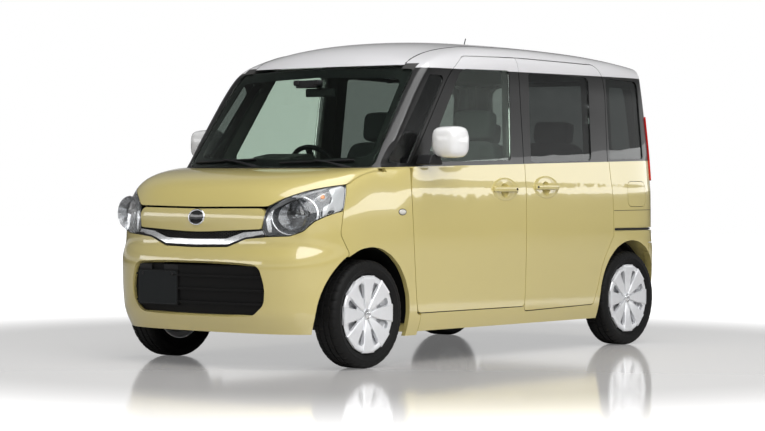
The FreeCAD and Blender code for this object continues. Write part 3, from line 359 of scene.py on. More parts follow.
# Other CAD pieces keep their shape and take a finish: moulded plastics, cast iron, steel and
# rubber, each with fine variation, some wear along its edges and a grain.
BLACK_PLASTIC = finish("black plastic", (0.010, 0.010, 0.011), 0.55, scale=120, bump=0.0001,
                       Specular_IOR_Level=0.3)
GRILLE_BLACK = finish("unpainted black plastic", (0.006, 0.006, 0.006), 0.6, scale=120, bump=0.0001,
                      wear=0.05,
                      Specular_IOR_Level=0.15)
DARK_METAL = finish("dark underbody metal", (0.02, 0.02, 0.021), 0.5, scale=25, variation=0.5, bump=0.0004)
CAST = finish("cast iron", (0.20, 0.20, 0.20), 0.6, scale=60, variation=0.5, bump=0.0008, Metallic=0.6)
STEEL = finish("brushed steel", (0.42, 0.41, 0.40), 0.35, scale=50, variation=0.4, Metallic=1.0)
RUBBER = finish("tyre rubber", (0.007, 0.007, 0.007), 0.62, "tyre", scale=80, variation=0.4, bump=0.0003,
                wear=0.05,
                Specular_IOR_Level=0.2)
CHROME = finish("bright trim", (0.80, 0.81, 0.83), 0.19, "bright_trim", scale=30, variation=0.1, bump=0.00001,
                wear=0.0, Metallic=1.0)
REFLECTOR = finish("lamp reflector", (0.74, 0.75, 0.77), 0.24, "lamp_reflector", scale=60, variation=0.1,
                   bump=0.00005, wear=0.0, Metallic=1.0)
BEZEL = finish("lamp bezel", (0.035, 0.038, 0.042), 0.26, variation=0.3, bump=0.00005, wear=0.0, Metallic=0.7)
SILVER = finish("silver cover", (0.78, 0.79, 0.81), 0.30, "wheel_cover", scale=50, variation=0.06,
                bump=0.00004,
                wear=0.05, Metallic=0.35, Coat_Weight=0.4)
WHITE_GLOSS = finish("white gloss", (0.84, 0.84, 0.84), 0.25, "white_plastic", scale=20, variation=0.04,
                     bump=0.00002, wear=0.0, Coat_Weight=1.0)
# Dash colour: dark plastic darkened further as painted shade for the cabin.
DASH_GREY_WITH_PAINTED_SHADE = finish("dash plastic with painted shade", (0.035, 0.034, 0.033), 0.6, "grey_plastic", scale=200, bump=0.0004)
RED_LENS = finish("red lens", (0.72, 0.022, 0.020), 0.12, "red_lens", scale=20, variation=0.1, bump=0.00003,
                  wear=0.0, Coat_Weight=0.4)
# Seat cloth colour: dark cloth darkened further as painted shade for the cabin.
SEAT_CLOTH_WITH_PAINTED_SHADE = finish("seat cloth with painted shade", (0.10, 0.10, 0.105), 0.9, "seat_cloth", scale=160, variation=0.5,
                    bump=0.0008,
                    wear=0.0)
dress(GRILLE_BLACK, "grille", "upper_grille", "radiator", "wheel_liners")
dress(BLACK_PLASTIC, "antenna", "wipers", "inner_mirror", "fuel_tank", "steering_wheel", "slide_rails",
      "cowl_cover")
dress(DARK_METAL, "floor_pan", "front_structure", "front_suspension", "rear_axle")
dress(CAST, "engine", "knuckle_left", "knuckle_right")
dress(STEEL, "exhaust")
dress(RUBBER, "tyre_front_left", "tyre_front_right", "tyre_rear_left", "tyre_rear_right")
dress(CHROME, "chrome_bar")
dress(BEZEL, "headlamps")
dress(SILVER, "wheel_front_left", "wheel_front_right", "wheel_rear_left", "wheel_rear_right")
dress(WHITE_GLOSS, "mirror_left", "mirror_right")
dress(DASH_GREY_WITH_PAINTED_SHADE, "dashboard")
dress(RED_LENS, "tail_lamps")
dress(SEAT_CLOTH_WITH_PAINTED_SHADE, "front_seats", "rear_seat")

# Windscreen: a laminated pane bonded in the opening. A black ceramic border is printed round its inner face,
# deep at the top behind the camera; the real screen's shaded band under the header is not drawn.
FRIT_BLACK = finish("ceramic border", (0.006, 0.006, 0.007), 0.35, scale=90, variation=0.1, bump=0.00001,
                    wear=0.0)
SCREEN_EDGE = [(-0.650, 1.023), (0, 1.006), (0.650, 1.023), (0.606, 1.538), (0, 1.554), (-0.606, 1.538)]
SCREEN_CLEAR = [(-0.596, 1.070), (0, 1.056), (0.596, 1.070), (0.556, 1.486), (0, 1.503), (-0.556, 1.486)]
SIDEWAYS = Vector((1, 0, 0))
REARWARD = Vector((0, 1, 0))
UPWARD = Vector((0, 0, 1))
RAY_START = 0.6
CORNER_STEPS = 8
PRINT_LIFT = 0.0008
SAME_POINT = 0.00002
TREES = {}


def piece(name, mesh, material, body="body", crease=32.0):
    """Finish a bmesh as a smooth-shaded piece that rides on a body."""
    bmesh.ops.recalc_face_normals(mesh, faces=mesh.faces)
    data = bpy.data.meshes.new(name)
    mesh.to_mesh(data)
    mesh.free()
    data.polygons.foreach_set("use_smooth", [True] * len(data.polygons))
    data.materials.append(material)
    item = placed(name, data)
    if crease:
        edges = item.modifiers.new("crease", "EDGE_SPLIT")
        edges.split_angle = math.radians(crease)
        edges.use_edge_sharp = False
    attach(item, body)
    return item


def rounded_outline(corners, radius, count):
    """Evenly spaced points along a flat polygon with rounded corners."""
    dense = []
    for i, corner in enumerate(corners):
        middle = Vector(corner)
        back = Vector(corners[i - 1]) - middle
        ahead = Vector(corners[(i + 1) % len(corners)]) - middle
        reach = radius / max(0.05, math.tan(back.angle(ahead) / 2))
        reach = min(reach, back.length * 0.48, ahead.length * 0.48)
        a = middle + back.normalized() * reach
        b = middle + ahead.normalized() * reach
        for k in range(CORNER_STEPS + 1):
            t = k / CORNER_STEPS
            dense.append(a * (1 - t) ** 2 + middle * (2 * t * (1 - t)) + b * t * t)
    lengths = [0.0]
    for i, point in enumerate(dense):
        lengths.append(lengths[-1] + (dense[(i + 1) % len(dense)] - point).length)
    points = []
    index = 0
    for k in range(count):
        want = lengths[-1] * k / count
        while lengths[index + 1] < want:
            index += 1
        share = (want - lengths[index]) / max(1e-9, lengths[index + 1] - lengths[index])
        points.append(dense[index].lerp(dense[(index + 1) % len(dense)], share))
    return points


def face_on(points, axis, level=0.0):
    """Flat points put in space: (y, z) on a side face, axis x, or (x, z) across the car, axis y."""
    if axis == "x":
        return [Vector((level, a, b)) for a, b in points]
    return [Vector((a, level, b)) for a, b in points]


def surface_point(node, origin, direction):
    """Where a ray first meets a CAD node, or None."""
    if node not in TREES:
        data = nodes[node].data
        TREES[node] = BVHTree.FromPolygons([v.co.copy() for v in data.vertices],
                                           [tuple(p.vertices) for p in data.polygons])
    return TREES[node].ray_cast(Vector(origin), Vector(direction).normalized())[0]


def lay(node, point, direction, lift, middle):
    """A point laid on a node along a direction and lifted off it; misses slide to the middle."""
    direction = Vector(direction).normalized()
    for trial in range(30):
        spot = surface_point(node, point - direction * RAY_START, direction)
        if spot:
            return spot - direction * lift
        point = point.lerp(middle, 0.03)
    return point


def skin(mesh, rows, closed=True):
    """Quads between rows of vertices; where closed, each row runs round to its start."""
    for one, two in zip(rows, rows[1:]):
        for i in range(len(one) if closed else len(one) - 1):
            j = (i + 1) % len(one)
            mesh.faces.new((one[i], one[j], two[j], two[i]))


def laid_form(node, outer, inner, direction, rows):
    """Mesh of rings between two outlines, laid on a node. rows holds (share, lift) for each ring;
    inner is an outline of as many points, or one middle point."""
    mesh = bmesh.new()
    middle = sum(outer, Vector()) / len(outer)
    if isinstance(inner, Vector):
        inner = [inner] * len(outer)
    rings = []
    for share, lift in rows:
        ring = [a.lerp(b, share) for a, b in zip(outer, inner)]
        rings.append([mesh.verts.new(lay(node, p, direction, lift, middle)) for p in ring])
    skin(mesh, rings)
    bmesh.ops.remove_doubles(mesh, verts=mesh.verts, dist=SAME_POINT)
    return mesh


def print_band(name, node, edge, clear, radii, axis, direction, count, rows=5):
    """Black print on the far side of a pane, between its edge and the clear opening."""
    outer = face_on(rounded_outline(edge, radii[0], count), axis)
    inner = face_on(rounded_outline(clear, radii[1], count), axis)
    mesh = laid_form(node, outer, inner, direction, [(k / rows, PRINT_LIFT) for k in range(rows + 1)])
    piece(name, mesh, FRIT_BLACK, crease=0)


print_band("windscreen_border", "windscreen", SCREEN_EDGE, SCREEN_CLEAR, (0.034, 0.05), "y", -REARWARD, 160)

# Small fixed panes ahead of and behind the doors: bonded glass, printed black on the inside
# but for a rounded clear opening.
SAIL_EDGE = [(-0.973, 1.044), (-0.824, 1.044), (-0.472, 1.508), (-0.540, 1.511), (-0.602, 1.510)]
SAIL_CLEAR = [(-0.925, 1.064), (-0.840, 1.064), (-0.545, 1.440), (-0.572, 1.484), (-0.622, 1.458)]
QUARTER_EDGE = [(1.070, 1.554), (1.422, 1.550), (1.442, 1.096), (1.064, 1.088)]
QUARTER_CLEAR = [(1.112, 1.508), (1.376, 1.504), (1.392, 1.150), (1.106, 1.144)]
SIDE_PANES = [("sail_border_", SAIL_EDGE, SAIL_CLEAR, (0.014, 0.026)),
              ("quarter_border_", QUARTER_EDGE, QUARTER_CLEAR, (0.016, 0.03))]
for side, label in SIDES:
    for name, edge, clear, radii in SIDE_PANES:
        print_band(name + label, "quarter_glass", edge, clear, radii, "x", SIDEWAYS * side, 96)

# Door mirrors: a white painted shell with a chromed glass plate in its rear face, on a black
# moulded foot at the belt line.
MIRROR_CENTRE = (0.857, -0.670, 1.154)
MIRROR_HALF = (0.088, 0.073, 0.082)
MIRROR_POWER = 4.2
MIRROR_NOSE = 0.10
PLATE_HALF = (0.070, 0.062)
PLATE_BACK = 0.0722
FOOT_ROOT = (0.716, -0.722, 1.061)
FOOT_REACH = 0.094
FOOT_HEIGHT = 0.052
FOOT_WIDTHS = (0.122, 0.070)


def flip(point, side):
    return Vector((side * point[0], point[1], point[2]))


def pebble(cuts, power):
    """Rounded cube of half-size 1, with its points on a superellipsoid."""
    mesh = bmesh.new()
    bmesh.ops.create_cube(mesh, size=2.0)
    bmesh.ops.subdivide_edges(mesh, edges=mesh.edges, cuts=cuts, use_grid_fill=True)
    for vert in mesh.verts:
        vert.co = vert.co / sum(abs(c) ** power for c in vert.co) ** (1 / power)
    return mesh


def round_edges(mesh, edges, offset, segments):
    bmesh.ops.bevel(mesh, geom=edges, offset=offset, segments=segments, profile=0.5, affect="EDGES",
                    material=-1)


for side, label in SIDES:
    body = "door_" + label
    centre = flip(MIRROR_CENTRE, side)
    shell = pebble(5, MIRROR_POWER)
    for vert in shell.verts:
        x, y, z = vert.co
        slim = 1.0 - MIRROR_NOSE * max(0.0, -y)
        vert.co = centre + Vector((x * MIRROR_HALF[0] * slim, y * MIRROR_HALF[1], z * MIRROR_HALF[2] * slim))
    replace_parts(piece("mirror_shell_" + label, shell, WHITE_GLOSS, body, crease=0), "mirror_" + label)
    foot = bmesh.new()
    for vert in bmesh.ops.create_cube(foot, size=1.0)["verts"]:
        out = FOOT_ROOT[0] + (0.5 + side * vert.co.x) * FOOT_REACH
        width = FOOT_WIDTHS[1] if vert.co.z > 0 else FOOT_WIDTHS[0]
        vert.co = Vector((side * out, FOOT_ROOT[1] + vert.co.y * width,
                          FOOT_ROOT[2] + vert.co.z * FOOT_HEIGHT))
    round_edges(foot, foot.edges[:], 0.008, 3)
    piece("mirror_foot_" + label, foot, BLACK_PLASTIC, body)
    plate = bmesh.new()
    for vert in bmesh.ops.create_circle(plate, cap_ends=True, segments=48, radius=1.0)["verts"]:
        x, z, depth = vert.co
        stretch = (abs(x) ** 4 + abs(z) ** 4) ** -0.25
        vert.co = centre + Vector((x * stretch * PLATE_HALF[0], PLATE_BACK, z * stretch * PLATE_HALF[1]))
    bmesh.ops.inset_region(plate, faces=plate.faces[:], thickness=0.004, depth=-0.003)
    piece("mirror_plate_" + label, plate, CHROME, body)

# Wheels: pressed steel under a silver painted cover of eight flat blades, with vents in the
# valleys between them and a plain domed cap at the middle.
WHEEL_CENTRES = {"front_left": (0.6475, -1.1575), "front_right": (-0.6475, -1.1575),
                 "rear_left": (0.645, 1.2675), "rear_right": (-0.645, 1.2675)}
HUB_HEIGHT = 0.275
BLADE_COUNT = 8
BLADE = [(0.026, 0.0085, 0.0600), (0.045, 0.0135, 0.0632), (0.065, 0.0200, 0.0660), (0.084, 0.0258, 0.0683),
         (0.105, 0.0300, 0.0702), (0.130, 0.0338, 0.0722), (0.155, 0.0385, 0.0738), (0.174, 0.0425, 0.0748),
         (0.187, 0.0452, 0.0752), (0.1945, 0.0466, 0.0722)]
BLADE_CHAMFER = 0.0035
BLADE_CROWN = 0.0006
BLADE_ROOT = 0.050
CAP = [(0.0, 0.0668), (0.010, 0.0665), (0.017, 0.0655), (0.0195, 0.0640), (0.0205, 0.0640),
       (0.0225, 0.0655), (0.0255, 0.0645), (0.0270, 0.0600), (0.0270, 0.0520)]


def turned(profile, centre, axis, outward, steps):
    """Form turned round an axis; profile holds (radius, place along the axis)."""
    mesh = bmesh.new()
    line = [mesh.verts.new(centre + outward * radius + axis * along) for radius, along in profile]
    edges = [mesh.edges.new(pair) for pair in zip(line, line[1:])]
    bmesh.ops.spin(mesh, geom=line + edges, cent=centre, axis=axis, angle=math.tau, steps=steps,
                   use_merge=True)
    bmesh.ops.remove_doubles(mesh, verts=mesh.verts, dist=0.00001)
    return mesh


for name, (hub_x, hub_y) in WHEEL_CENTRES.items():
    side = 1 if hub_x > 0 else -1
    blades = bmesh.new()
    for number in range(BLADE_COUNT):
        angle = math.tau * number / BLADE_COUNT
        rows = []
        for radius, half, top in BLADE:
            flat, edge, crown = half - BLADE_CHAMFER, top - BLADE_CHAMFER, top - BLADE_CROWN
            outline = [(-half, BLADE_ROOT), (-half, edge), (-flat, crown), (0, top), (flat, crown),
                       (half, edge),
                       (half, BLADE_ROOT)]
            row = []
            for across, out in outline:
                y = radius * math.sin(angle) + across * math.cos(angle)
                z = radius * math.cos(angle) - across * math.sin(angle)
                row.append(blades.verts.new((hub_x + side * out, hub_y + y, HUB_HEIGHT + z)))
            rows.append(row)
        skin(blades, rows, closed=False)
        blades.faces.new(rows[-1])
    piece("wheel_blades_" + name, blades, SILVER, "wheel_" + name, crease=24)
    hub = Vector((hub_x, hub_y, HUB_HEIGHT))
    cap = turned([(radius, side * out) for radius, out in CAP], hub, SIDEWAYS, UPWARD, 48)
    piece("wheel_cap_" + name, cap, CHROME, "wheel_" + name)

# Tyres: narrow road tyres with a rounded shoulder, rim guard and ribs on the flank, and a
# tread of three grooves with cross cuts through the shoulder blocks.
TYRE_STEPS = 216
TYRE_SECTION = [(0.1780, 0.0560), (0.1860, 0.0572), (0.1960, 0.0576), (0.2020, 0.0590), (0.2060, 0.0625),
                (0.2085, 0.0628), (0.2110, 0.0668), (0.2200, 0.0712), (0.2320, 0.0752), (0.2335, 0.0762),
                (0.2350, 0.0762), (0.2365, 0.0756), (0.2460, 0.0762), (0.2560, 0.0742), (0.2640, 0.0700),
                (0.2695, 0.0645), (0.2728, 0.0585), (0.2743, 0.0520), (0.2746, 0.0450), (0.2746, 0.0385),
                (0.2690, 0.0378), (0.2690, 0.0322), (0.2748, 0.0315), (0.2749, 0.0180), (0.2749, 0.0045),
                (0.2690, 0.0038)]
SHOULDER = range(14, 20)
SHOULDER_PITCH = 6
SHOULDER_CUT = 0.0040
CENTRE_RIB = range(22, 25)
RIB_PITCH = 9
RIB_CUT = 0.0030
section = TYRE_SECTION + [(r, -w) for r, w in reversed(TYRE_SECTION)]
for name, (hub_x, hub_y) in WHEEL_CENTRES.items():
    mesh = bmesh.new()
    rings = []
    for step in range(TYRE_STEPS):
        angle = math.tau * step / TYRE_STEPS
        ring = []
        for index, (radius, width) in enumerate(section):
            place = min(index, len(section) - 1 - index)
            near = 1 if index < len(TYRE_SECTION) else 0
            if place in SHOULDER and (step + 2 * near) % SHOULDER_PITCH == 0:
                radius -= SHOULDER_CUT * min(1.0, (place - SHOULDER.start + 1) / 3)
                width *= 1.0 - 0.004 * (SHOULDER.stop - place)
            if place in CENTRE_RIB and (step + 3 * near) % RIB_PITCH == 0:
                radius -= RIB_CUT
            ring.append(mesh.verts.new((hub_x + width, hub_y + radius * math.sin(angle),
                                        HUB_HEIGHT + radius * math.cos(angle))))
        rings.append(ring)
    skin(mesh, rings + rings[:1])
    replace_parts(piece("tyre_" + name + "_tread", mesh, RUBBER, "wheel_" + name), "tyre_" + name)

# Headlamps: a clear polycarbonate cover over a dark bezel, with a large faceted reflector
# bowl, an amber bulb in a pocket above it and a pale panel that wraps round to the fender.
LAMP_GREY = finish("grey lamp trim", (0.20, 0.205, 0.21), 0.30, "lamp_reflector", bump=0.00005, wear=0.0,
                   Metallic=0.8)
LAMP_WHITE = finish("pale lamp panel", (0.50, 0.51, 0.52), 0.22, "white_plastic", scale=30, variation=0.05,
                    bump=0.00002, wear=0.0, Metallic=0.25, Coat_Weight=0.6)
BLACK_GLOSS = finish("gloss black", (0.008, 0.008, 0.009), 0.12, scale=30, variation=0.1, bump=0.00001,
                     wear=0.0,
                     Coat_Weight=1.0)
AMBER = finish("amber bulb glass", (0.85, 0.24, 0.03), 0.12, "lamp_reflector", scale=50, bump=0.00002,
               wear=0.0,
               Coat_Weight=1.0)
LAMP_AIM = (0.50, -0.866, 0)
LENS_MIDDLE = (0.585, -1.53, 0.790)
LENS_PRINT = 0.0095
BOWL = (0.562, -1.555, 0.775)
BOWL_RING = (0.0985, 0.0905)
BOWL_FACETS = 20
BOWL_PROFILE = [(0.0905, -1.576), (0.0800, -1.548), (0.0660, -1.520), (0.0560, -1.500), (0.0400, -1.4835),
                (0.0220, -1.4745), (0.0120, -1.4725)]
BULB_PROFILE = [(0.0, -1.5400), (0.0040, -1.5395), (0.0072, -1.5370), (0.0080, -1.5330), (0.0080, -1.5000),
                (0.0110, -1.4980), (0.0110, -1.4760)]
SHADE_SIZE = (0.140, 0.020, 0.022)
RIB_SIZE = (0.0042, 0.030)
RIB_SPACING = 0.0105
RIB_TOP = 0.014
RIB_LENGTH = 0.048
POCKET = (0.655, -1.455, 0.866)
POCKET_RING = (0.0265, 0.021)
PALE_PANEL = [(0.668, -1.425, 0.903), (0.690, -1.350, 0.921), (0.7035, -1.338, 0.913),
              (0.7085, -1.355, 0.815),
              (0.703, -1.392, 0.783), (0.681, -1.452, 0.748), (0.671, -1.470, 0.770), (0.671, -1.466, 0.812),
              (0.686, -1.424, 0.838), (0.684, -1.408, 0.878)]
TOP_STRIP = [(0.445, -1.60, 0.805), (0.500, -1.58, 0.846), (0.590, -1.50, 0.884), (0.668, -1.42, 0.915),
             (0.655, -1.43, 0.900), (0.585, -1.50, 0.868), (0.500, -1.58, 0.828), (0.452, -1.60, 0.792)]
INNER_FIN = [(0.438, -1.63, 0.750), (0.452, -1.62, 0.790), (0.470, -1.61, 0.800), (0.462, -1.61, 0.740),
             (0.468, -1.61, 0.690), (0.448, -1.62, 0.690)]
STRIPS = [[(0.655, -1.49, 0.80), (0.658, -1.49, 0.80), (0.660, -1.49, 0.71), (0.657, -1.49, 0.71)],
          [(0.664, -1.48, 0.80), (0.667, -1.48, 0.80), (0.670, -1.48, 0.73), (0.667, -1.48, 0.73)]]
PILLOW = [(0.0, -0.001), (0.0, 0.0012), (0.06, 0.0024), (0.2, 0.0030), (0.6, 0.0032), (1.0, 0.0033)]
THIN = [(0.0, -0.001), (0.0, 0.0008), (0.3, 0.0013), (1.0, 0.0014)]


def edge_of(node, middle, inward, across, count):
    """Outline of a node round a middle point, found by rays along inward."""
    points = []
    for k in range(count):
        angle = math.tau * k / count
        step = across * math.cos(angle) + UPWARD * math.sin(angle)
        low, high = 0.0, 0.6
        while high - low > 0.0004:
            half = (low + high) / 2
            if surface_point(node, middle + step * half - inward * RAY_START, inward):
                low = half
            else:
                high = half
        points.append(middle + step * low)
    return points


def oval(middle, across, half_across, half_up, count=72):
    """Points round an upright oval, or a circle where the two halves are equal."""
    return [middle + across * (half_across * math.cos(math.tau * k / count))
            + UPWARD * (half_up * math.sin(math.tau * k / count)) for k in range(count)]


def lamp_patch(name, corners, aim, across, rows, material, radius=0.006, count=56):
    """Rounded patch between corners given in space, laid on the lamp's bezel."""
    base = corners[0]
    flat = [((c - base).dot(across), (c - base).dot(UPWARD)) for c in corners]
    outline = [base + across * p[0] + UPWARD * p[1] for p in rounded_outline(flat, radius, count)]
    mesh = laid_form("headlamps", outline, sum(outline, Vector()) / len(outline), aim, rows)
    piece(name, mesh, material, crease=40)


def block(mesh, centre, size):
    """Box added to a mesh; returns its vertices."""
    made = bmesh.ops.create_cube(mesh, size=1.0)["verts"]
    for vert in made:
        vert.co = Vector(centre) + vert.co * Vector(size)
    return made


for side, label in SIDES:
    aim = flip(LAMP_AIM, side)
    across = UPWARD.cross(aim).normalized()
    middle = flip(LENS_MIDDLE, side)
    rim = edge_of("headlamp_lenses", middle, -aim, across, 144)
    inner_rim = [p + (middle - p).normalized() * LENS_PRINT for p in rim]
    band = laid_form("headlamp_lenses", rim, inner_rim, aim, [(k / 3, 0.0006) for k in range(4)])
    piece("lamp_border_" + label, band, FRIT_BLACK, crease=0)
    inward = -aim.normalized()
    patch_across = UPWARD.cross(inward).normalized()
    for name, corners, material in (("lamp_panel_", PALE_PANEL, LAMP_WHITE),
                                    ("lamp_top_strip_", TOP_STRIP, LAMP_GREY),
                                    ("lamp_fin_", INNER_FIN, REFLECTOR)):
        lamp_patch(name + label, [flip(c, side) for c in corners], inward, patch_across, PILLOW, material)
    for number, corners in enumerate(STRIPS):
        lamp_patch("lamp_strip_" + label + str(number), [flip(c, side) for c in corners], inward,
                   patch_across,
                   THIN, REFLECTOR, radius=0.001, count=24)
    mouth = flip(BOWL, side)
    flange, lip = [oval(mouth, SIDEWAYS, radius, radius, 64) for radius in BOWL_RING]
    ring = laid_form("headlamps", flange, lip, REARWARD,
                     [(0.0, -0.001), (0.0, 0.0010), (0.2, 0.0024), (0.5, 0.0028), (0.85, 0.0020), (1.0, 0.0)])
    piece("bowl_ring_" + label, ring, REFLECTOR, crease=0)
    on_axis = Vector((mouth.x, 0, mouth.z))
    bowl = turned(BOWL_PROFILE, on_axis, REARWARD, SIDEWAYS, BOWL_FACETS)
    piece("bowl_facets_" + label, bowl, REFLECTOR, crease=8)
    piece("bowl_bulb_" + label, turned(BULB_PROFILE, on_axis, REARWARD, SIDEWAYS, 24), CHROME)
    shade = bmesh.new()
    block(shade, (mouth.x, -1.520, mouth.z + 0.010), SHADE_SIZE)
    round_edges(shade, shade.edges[:], 0.004, 2)
    piece("bowl_shade_" + label, shade, BLACK_GLOSS)
    ribs = bmesh.new()
    for k in range(-4, 5):
        length = RIB_LENGTH - abs(k) * 0.004
        middle_height = mouth.z - RIB_TOP - length / 2
        for vert in block(ribs, (mouth.x + k * RIB_SPACING, -1.512, middle_height), (*RIB_SIZE, length)):
            if vert.co.z < middle_height:
                vert.co.y -= 0.012
    piece("bowl_ribs_" + label, ribs, REFLECTOR)
    spot = flip(POCKET, side)
    rim, floor_edge = [oval(spot, across, radius, radius, 40) for radius in POCKET_RING]
    ring = laid_form("headlamps", rim, floor_edge, -aim,
                     [(0.0, -0.001), (0.0, 0.001), (0.4, 0.0026), (1.0, 0.0006)])
    piece("pocket_ring_" + label, ring, LAMP_GREY, crease=0)
    back = laid_form("headlamps", floor_edge, spot, -aim, [(0.0, 0.0005), (1.0, 0.0006)])
    piece("pocket_back_" + label, back, BLACK_GLOSS, crease=0)
    spot = spot + across * 0.003
    bulb = laid_form("headlamps", oval(spot, across, 0.0095, 0.0095, 32), spot, -aim,
                     [(0.0, 0.0006), (0.1, 0.0022), (0.35, 0.0036), (0.7, 0.0042), (1.0, 0.0043)])
    piece("pocket_bulb_" + label, bulb, AMBER, crease=0)

# Nose: a blank oval disc with a bright rim on the panel, a honeycomb mesh behind the bright
# bar, and a plain plate held by two screws and two tabs in the lower grille.
DISC = Vector((0.0, -1.66, 0.762))
HEX = 0.0085
HEX_INNER = HEX * 0.82
MESH_FOOT = 0.672
SLOT_EDGE = [(-0.405, 0.700), (0.0, 0.681), (0.405, 0.700), (0.330, 0.676), (0.215, 0.640), (0.0, 0.634),
             (-0.215, 0.640), (-0.330, 0.676)]
PLATE = [(-0.386, 0.314), (-0.114, 0.314), (-0.114, 0.486), (-0.386, 0.486)]
PLATE_FACE = -1.6842
PLATE_RINGS = [(0.0, -0.001), (0.0, 0.0012), (0.012, 0.002), (0.045, 0.002), (0.055, 0.0008), (1.0, 0.0008)]
SCREW_PLACES = (-0.355, -0.145)
TAB_SPANS = ((-0.386, -0.300), (-0.212, -0.114))
NOSE_FRONT = -1.9
DARK_PLATE = finish("dark plate", (0.008, 0.010, 0.011), 0.5, scale=60, bump=0.00008, Specular_IOR_Level=0.2)
outer = oval(DISC, SIDEWAYS, 0.057, 0.042)
inner = oval(DISC, SIDEWAYS, 0.048, 0.034)
mesh = laid_form("nose_panel", outer, inner, REARWARD,
                 [(0.0, -0.001), (0.0, 0.003), (0.25, 0.0058), (0.7, 0.0062), (1.0, 0.0040)])
piece("badge_rim", mesh, CHROME, crease=0)
mesh = laid_form("nose_panel", inner, DISC, REARWARD, [(0.0, 0.0040), (0.5, 0.0048), (1.0, 0.0050)])
piece("badge_disc", mesh, BLACK_GLOSS, crease=0)


def inside(x, z, outline):
    crossed = False
    for (ax, az), (bx, bz) in zip(outline, outline[1:] + outline[:1]):
        if (az > z) != (bz > z) and x < (bx - ax) * (z - az) / (bz - az) + ax:
            crossed = not crossed
    return crossed


def stud(mesh, centre, axes, base, tip, depth, segments):
    """Round stud added to a mesh; axes are its two directions across and the one it points in."""
    for vert in bmesh.ops.create_cone(mesh, cap_ends=True, segments=segments, radius1=base, radius2=tip,
                                      depth=depth)["verts"]:
        vert.co = centre + sum((axis * share for axis, share in zip(axes, vert.co.copy())), Vector())


mesh = bmesh.new()
for row in range(-14, 16):
    for column in range(-18, 19):
        x = column * HEX * 3 + (HEX * 1.5 if row % 2 else 0.0)
        z = MESH_FOOT + row * HEX * math.sqrt(3) / 2
        spot = surface_point("upper_grille", (x, NOSE_FRONT, z), REARWARD) if inside(x, z,
                                                                                     SLOT_EDGE) else None
        if not spot:
            continue
        for k in range(6):
            a, b = math.pi / 3 * k, math.pi / 3 * (k + 1)
            corners = [(spot.x + size * math.cos(angle), spot.z + size * math.sin(angle))
                       for angle, size in ((a, HEX), (b, HEX), (b, HEX_INNER), (a, HEX_INNER))]
            front = [mesh.verts.new((cx, spot.y - 0.004, cz)) for cx, cz in corners]
            back = [mesh.verts.new((cx, spot.y + 0.001, cz)) for cx, cz in corners]
            mesh.faces.new(front)
            mesh.faces.new((front[3], front[2], back[2], back[3]))
            mesh.faces.new((front[1], front[0], back[0], back[1]))
piece("mesh_cells", mesh, BLACK_PLASTIC)

outline = face_on(rounded_outline(PLATE, 0.008, 72), "y", PLATE_FACE)
middle = Vector((-0.25, PLATE_FACE, 0.40))
mesh = bmesh.new()
skin(mesh, [[mesh.verts.new(p.lerp(middle, share) - REARWARD * lift) for p in outline] for share,
            lift in PLATE_RINGS])
bmesh.ops.remove_doubles(mesh, verts=mesh.verts, dist=SAME_POINT)
piece("plate_blank", mesh, DARK_PLATE, crease=30)
screws = bmesh.new()
for x in SCREW_PLACES:
    stud(screws, Vector((x, PLATE_FACE - 0.0022, 0.470)), (SIDEWAYS, UPWARD, -REARWARD), 0.0072, 0.0058,
         0.004, 20)
piece("plate_screws", screws, BLACK_PLASTIC)
tabs = bmesh.new()
for x0, x1 in TAB_SPANS:
    block(tabs, ((x0 + x1) / 2, -1.6745, 0.502), (x1 - x0, 0.008, 0.032))
round_edges(tabs, tabs.edges[:], 0.002, 2)
piece("plate_tabs", tabs, BLACK_PLASTIC)

# Lower bar edge: a dark moulding clipped under the bright bar, which follows its underside from
# lamp to lamp. Each span holds its x, its top and its foot.
EDGE_SPANS = [(-0.436, 0.680, 0.668), (-0.330, 0.6655, 0.6560), (-0.215, 0.6275, 0.6170),
              (0.0, 0.6215, 0.6120),
              (0.215, 0.6275, 0.6170), (0.330, 0.6655, 0.6560), (0.436, 0.680, 0.668)]
EDGE_STEPS = 48
strip = bmesh.new()
rows = []
for k in range(EDGE_STEPS + 1):
    share = k / EDGE_STEPS * 6
    index = min(5, int(share))
    share -= index
    ease = share * share * (3 - 2 * share) if index in (0, 5) else share
    (ax, a_top, a_foot), (bx, b_top, b_foot) = EDGE_SPANS[index:index + 2]
    x = ax + (bx - ax) * share
    top = a_top + (b_top - a_top) * ease
    low = a_foot + (b_foot - a_foot) * ease
    start = (x, NOSE_FRONT, top)
    spot = surface_point("chrome_bar", start, REARWARD) or surface_point("front_bumper", start, REARWARD)
    face = spot.y - 0.0005 if spot else -1.66
    rows.append([strip.verts.new((x, y, z)) for y, z in ((face, top), (face - 0.001, top - 0.002),
                                                         (face - 0.001, low + 0.002), (face, low))])
skin(strip, rows, closed=False)
piece("bar_edge", strip, BLACK_PLASTIC)

# Wipers: two black arms with spring shrouds and rubber blades, parked along the foot of the
# screen. They turn on spindles under the cowl.
WIPER_RUNS = [((-0.600, 1.040), (-0.120, 1.057), (-0.075, 1.006)),
              ((0.060, 1.036), (0.520, 1.051), (0.560, 1.000))]
SCREEN_OUT = Vector((0, -0.62, 0.78))
BAR_SECTION = ((-1, -0.6), (-1, 0.6), (-0.6, 1), (0.6, 1), (1, 0.6), (1, -0.6), (0.6, -1), (-0.6, -1))
ARM_WIDTHS = [0.020, 0.020, 0.018, 0.016, 0.013, 0.011, 0.010, 0.009, 0.009, 0.009, 0.008]
ARM_HEIGHTS = [0.012, 0.014, 0.013, 0.011] + [0.007] * 7
BLADE_WIDTHS = [0.007] + [0.009] * 15 + [0.007]


def on_screen(x, z, lift):
    spot = surface_point("windscreen", (x, -2.4, z), REARWARD) or Vector((x, -1.09, z))
    return spot + SCREEN_OUT * lift


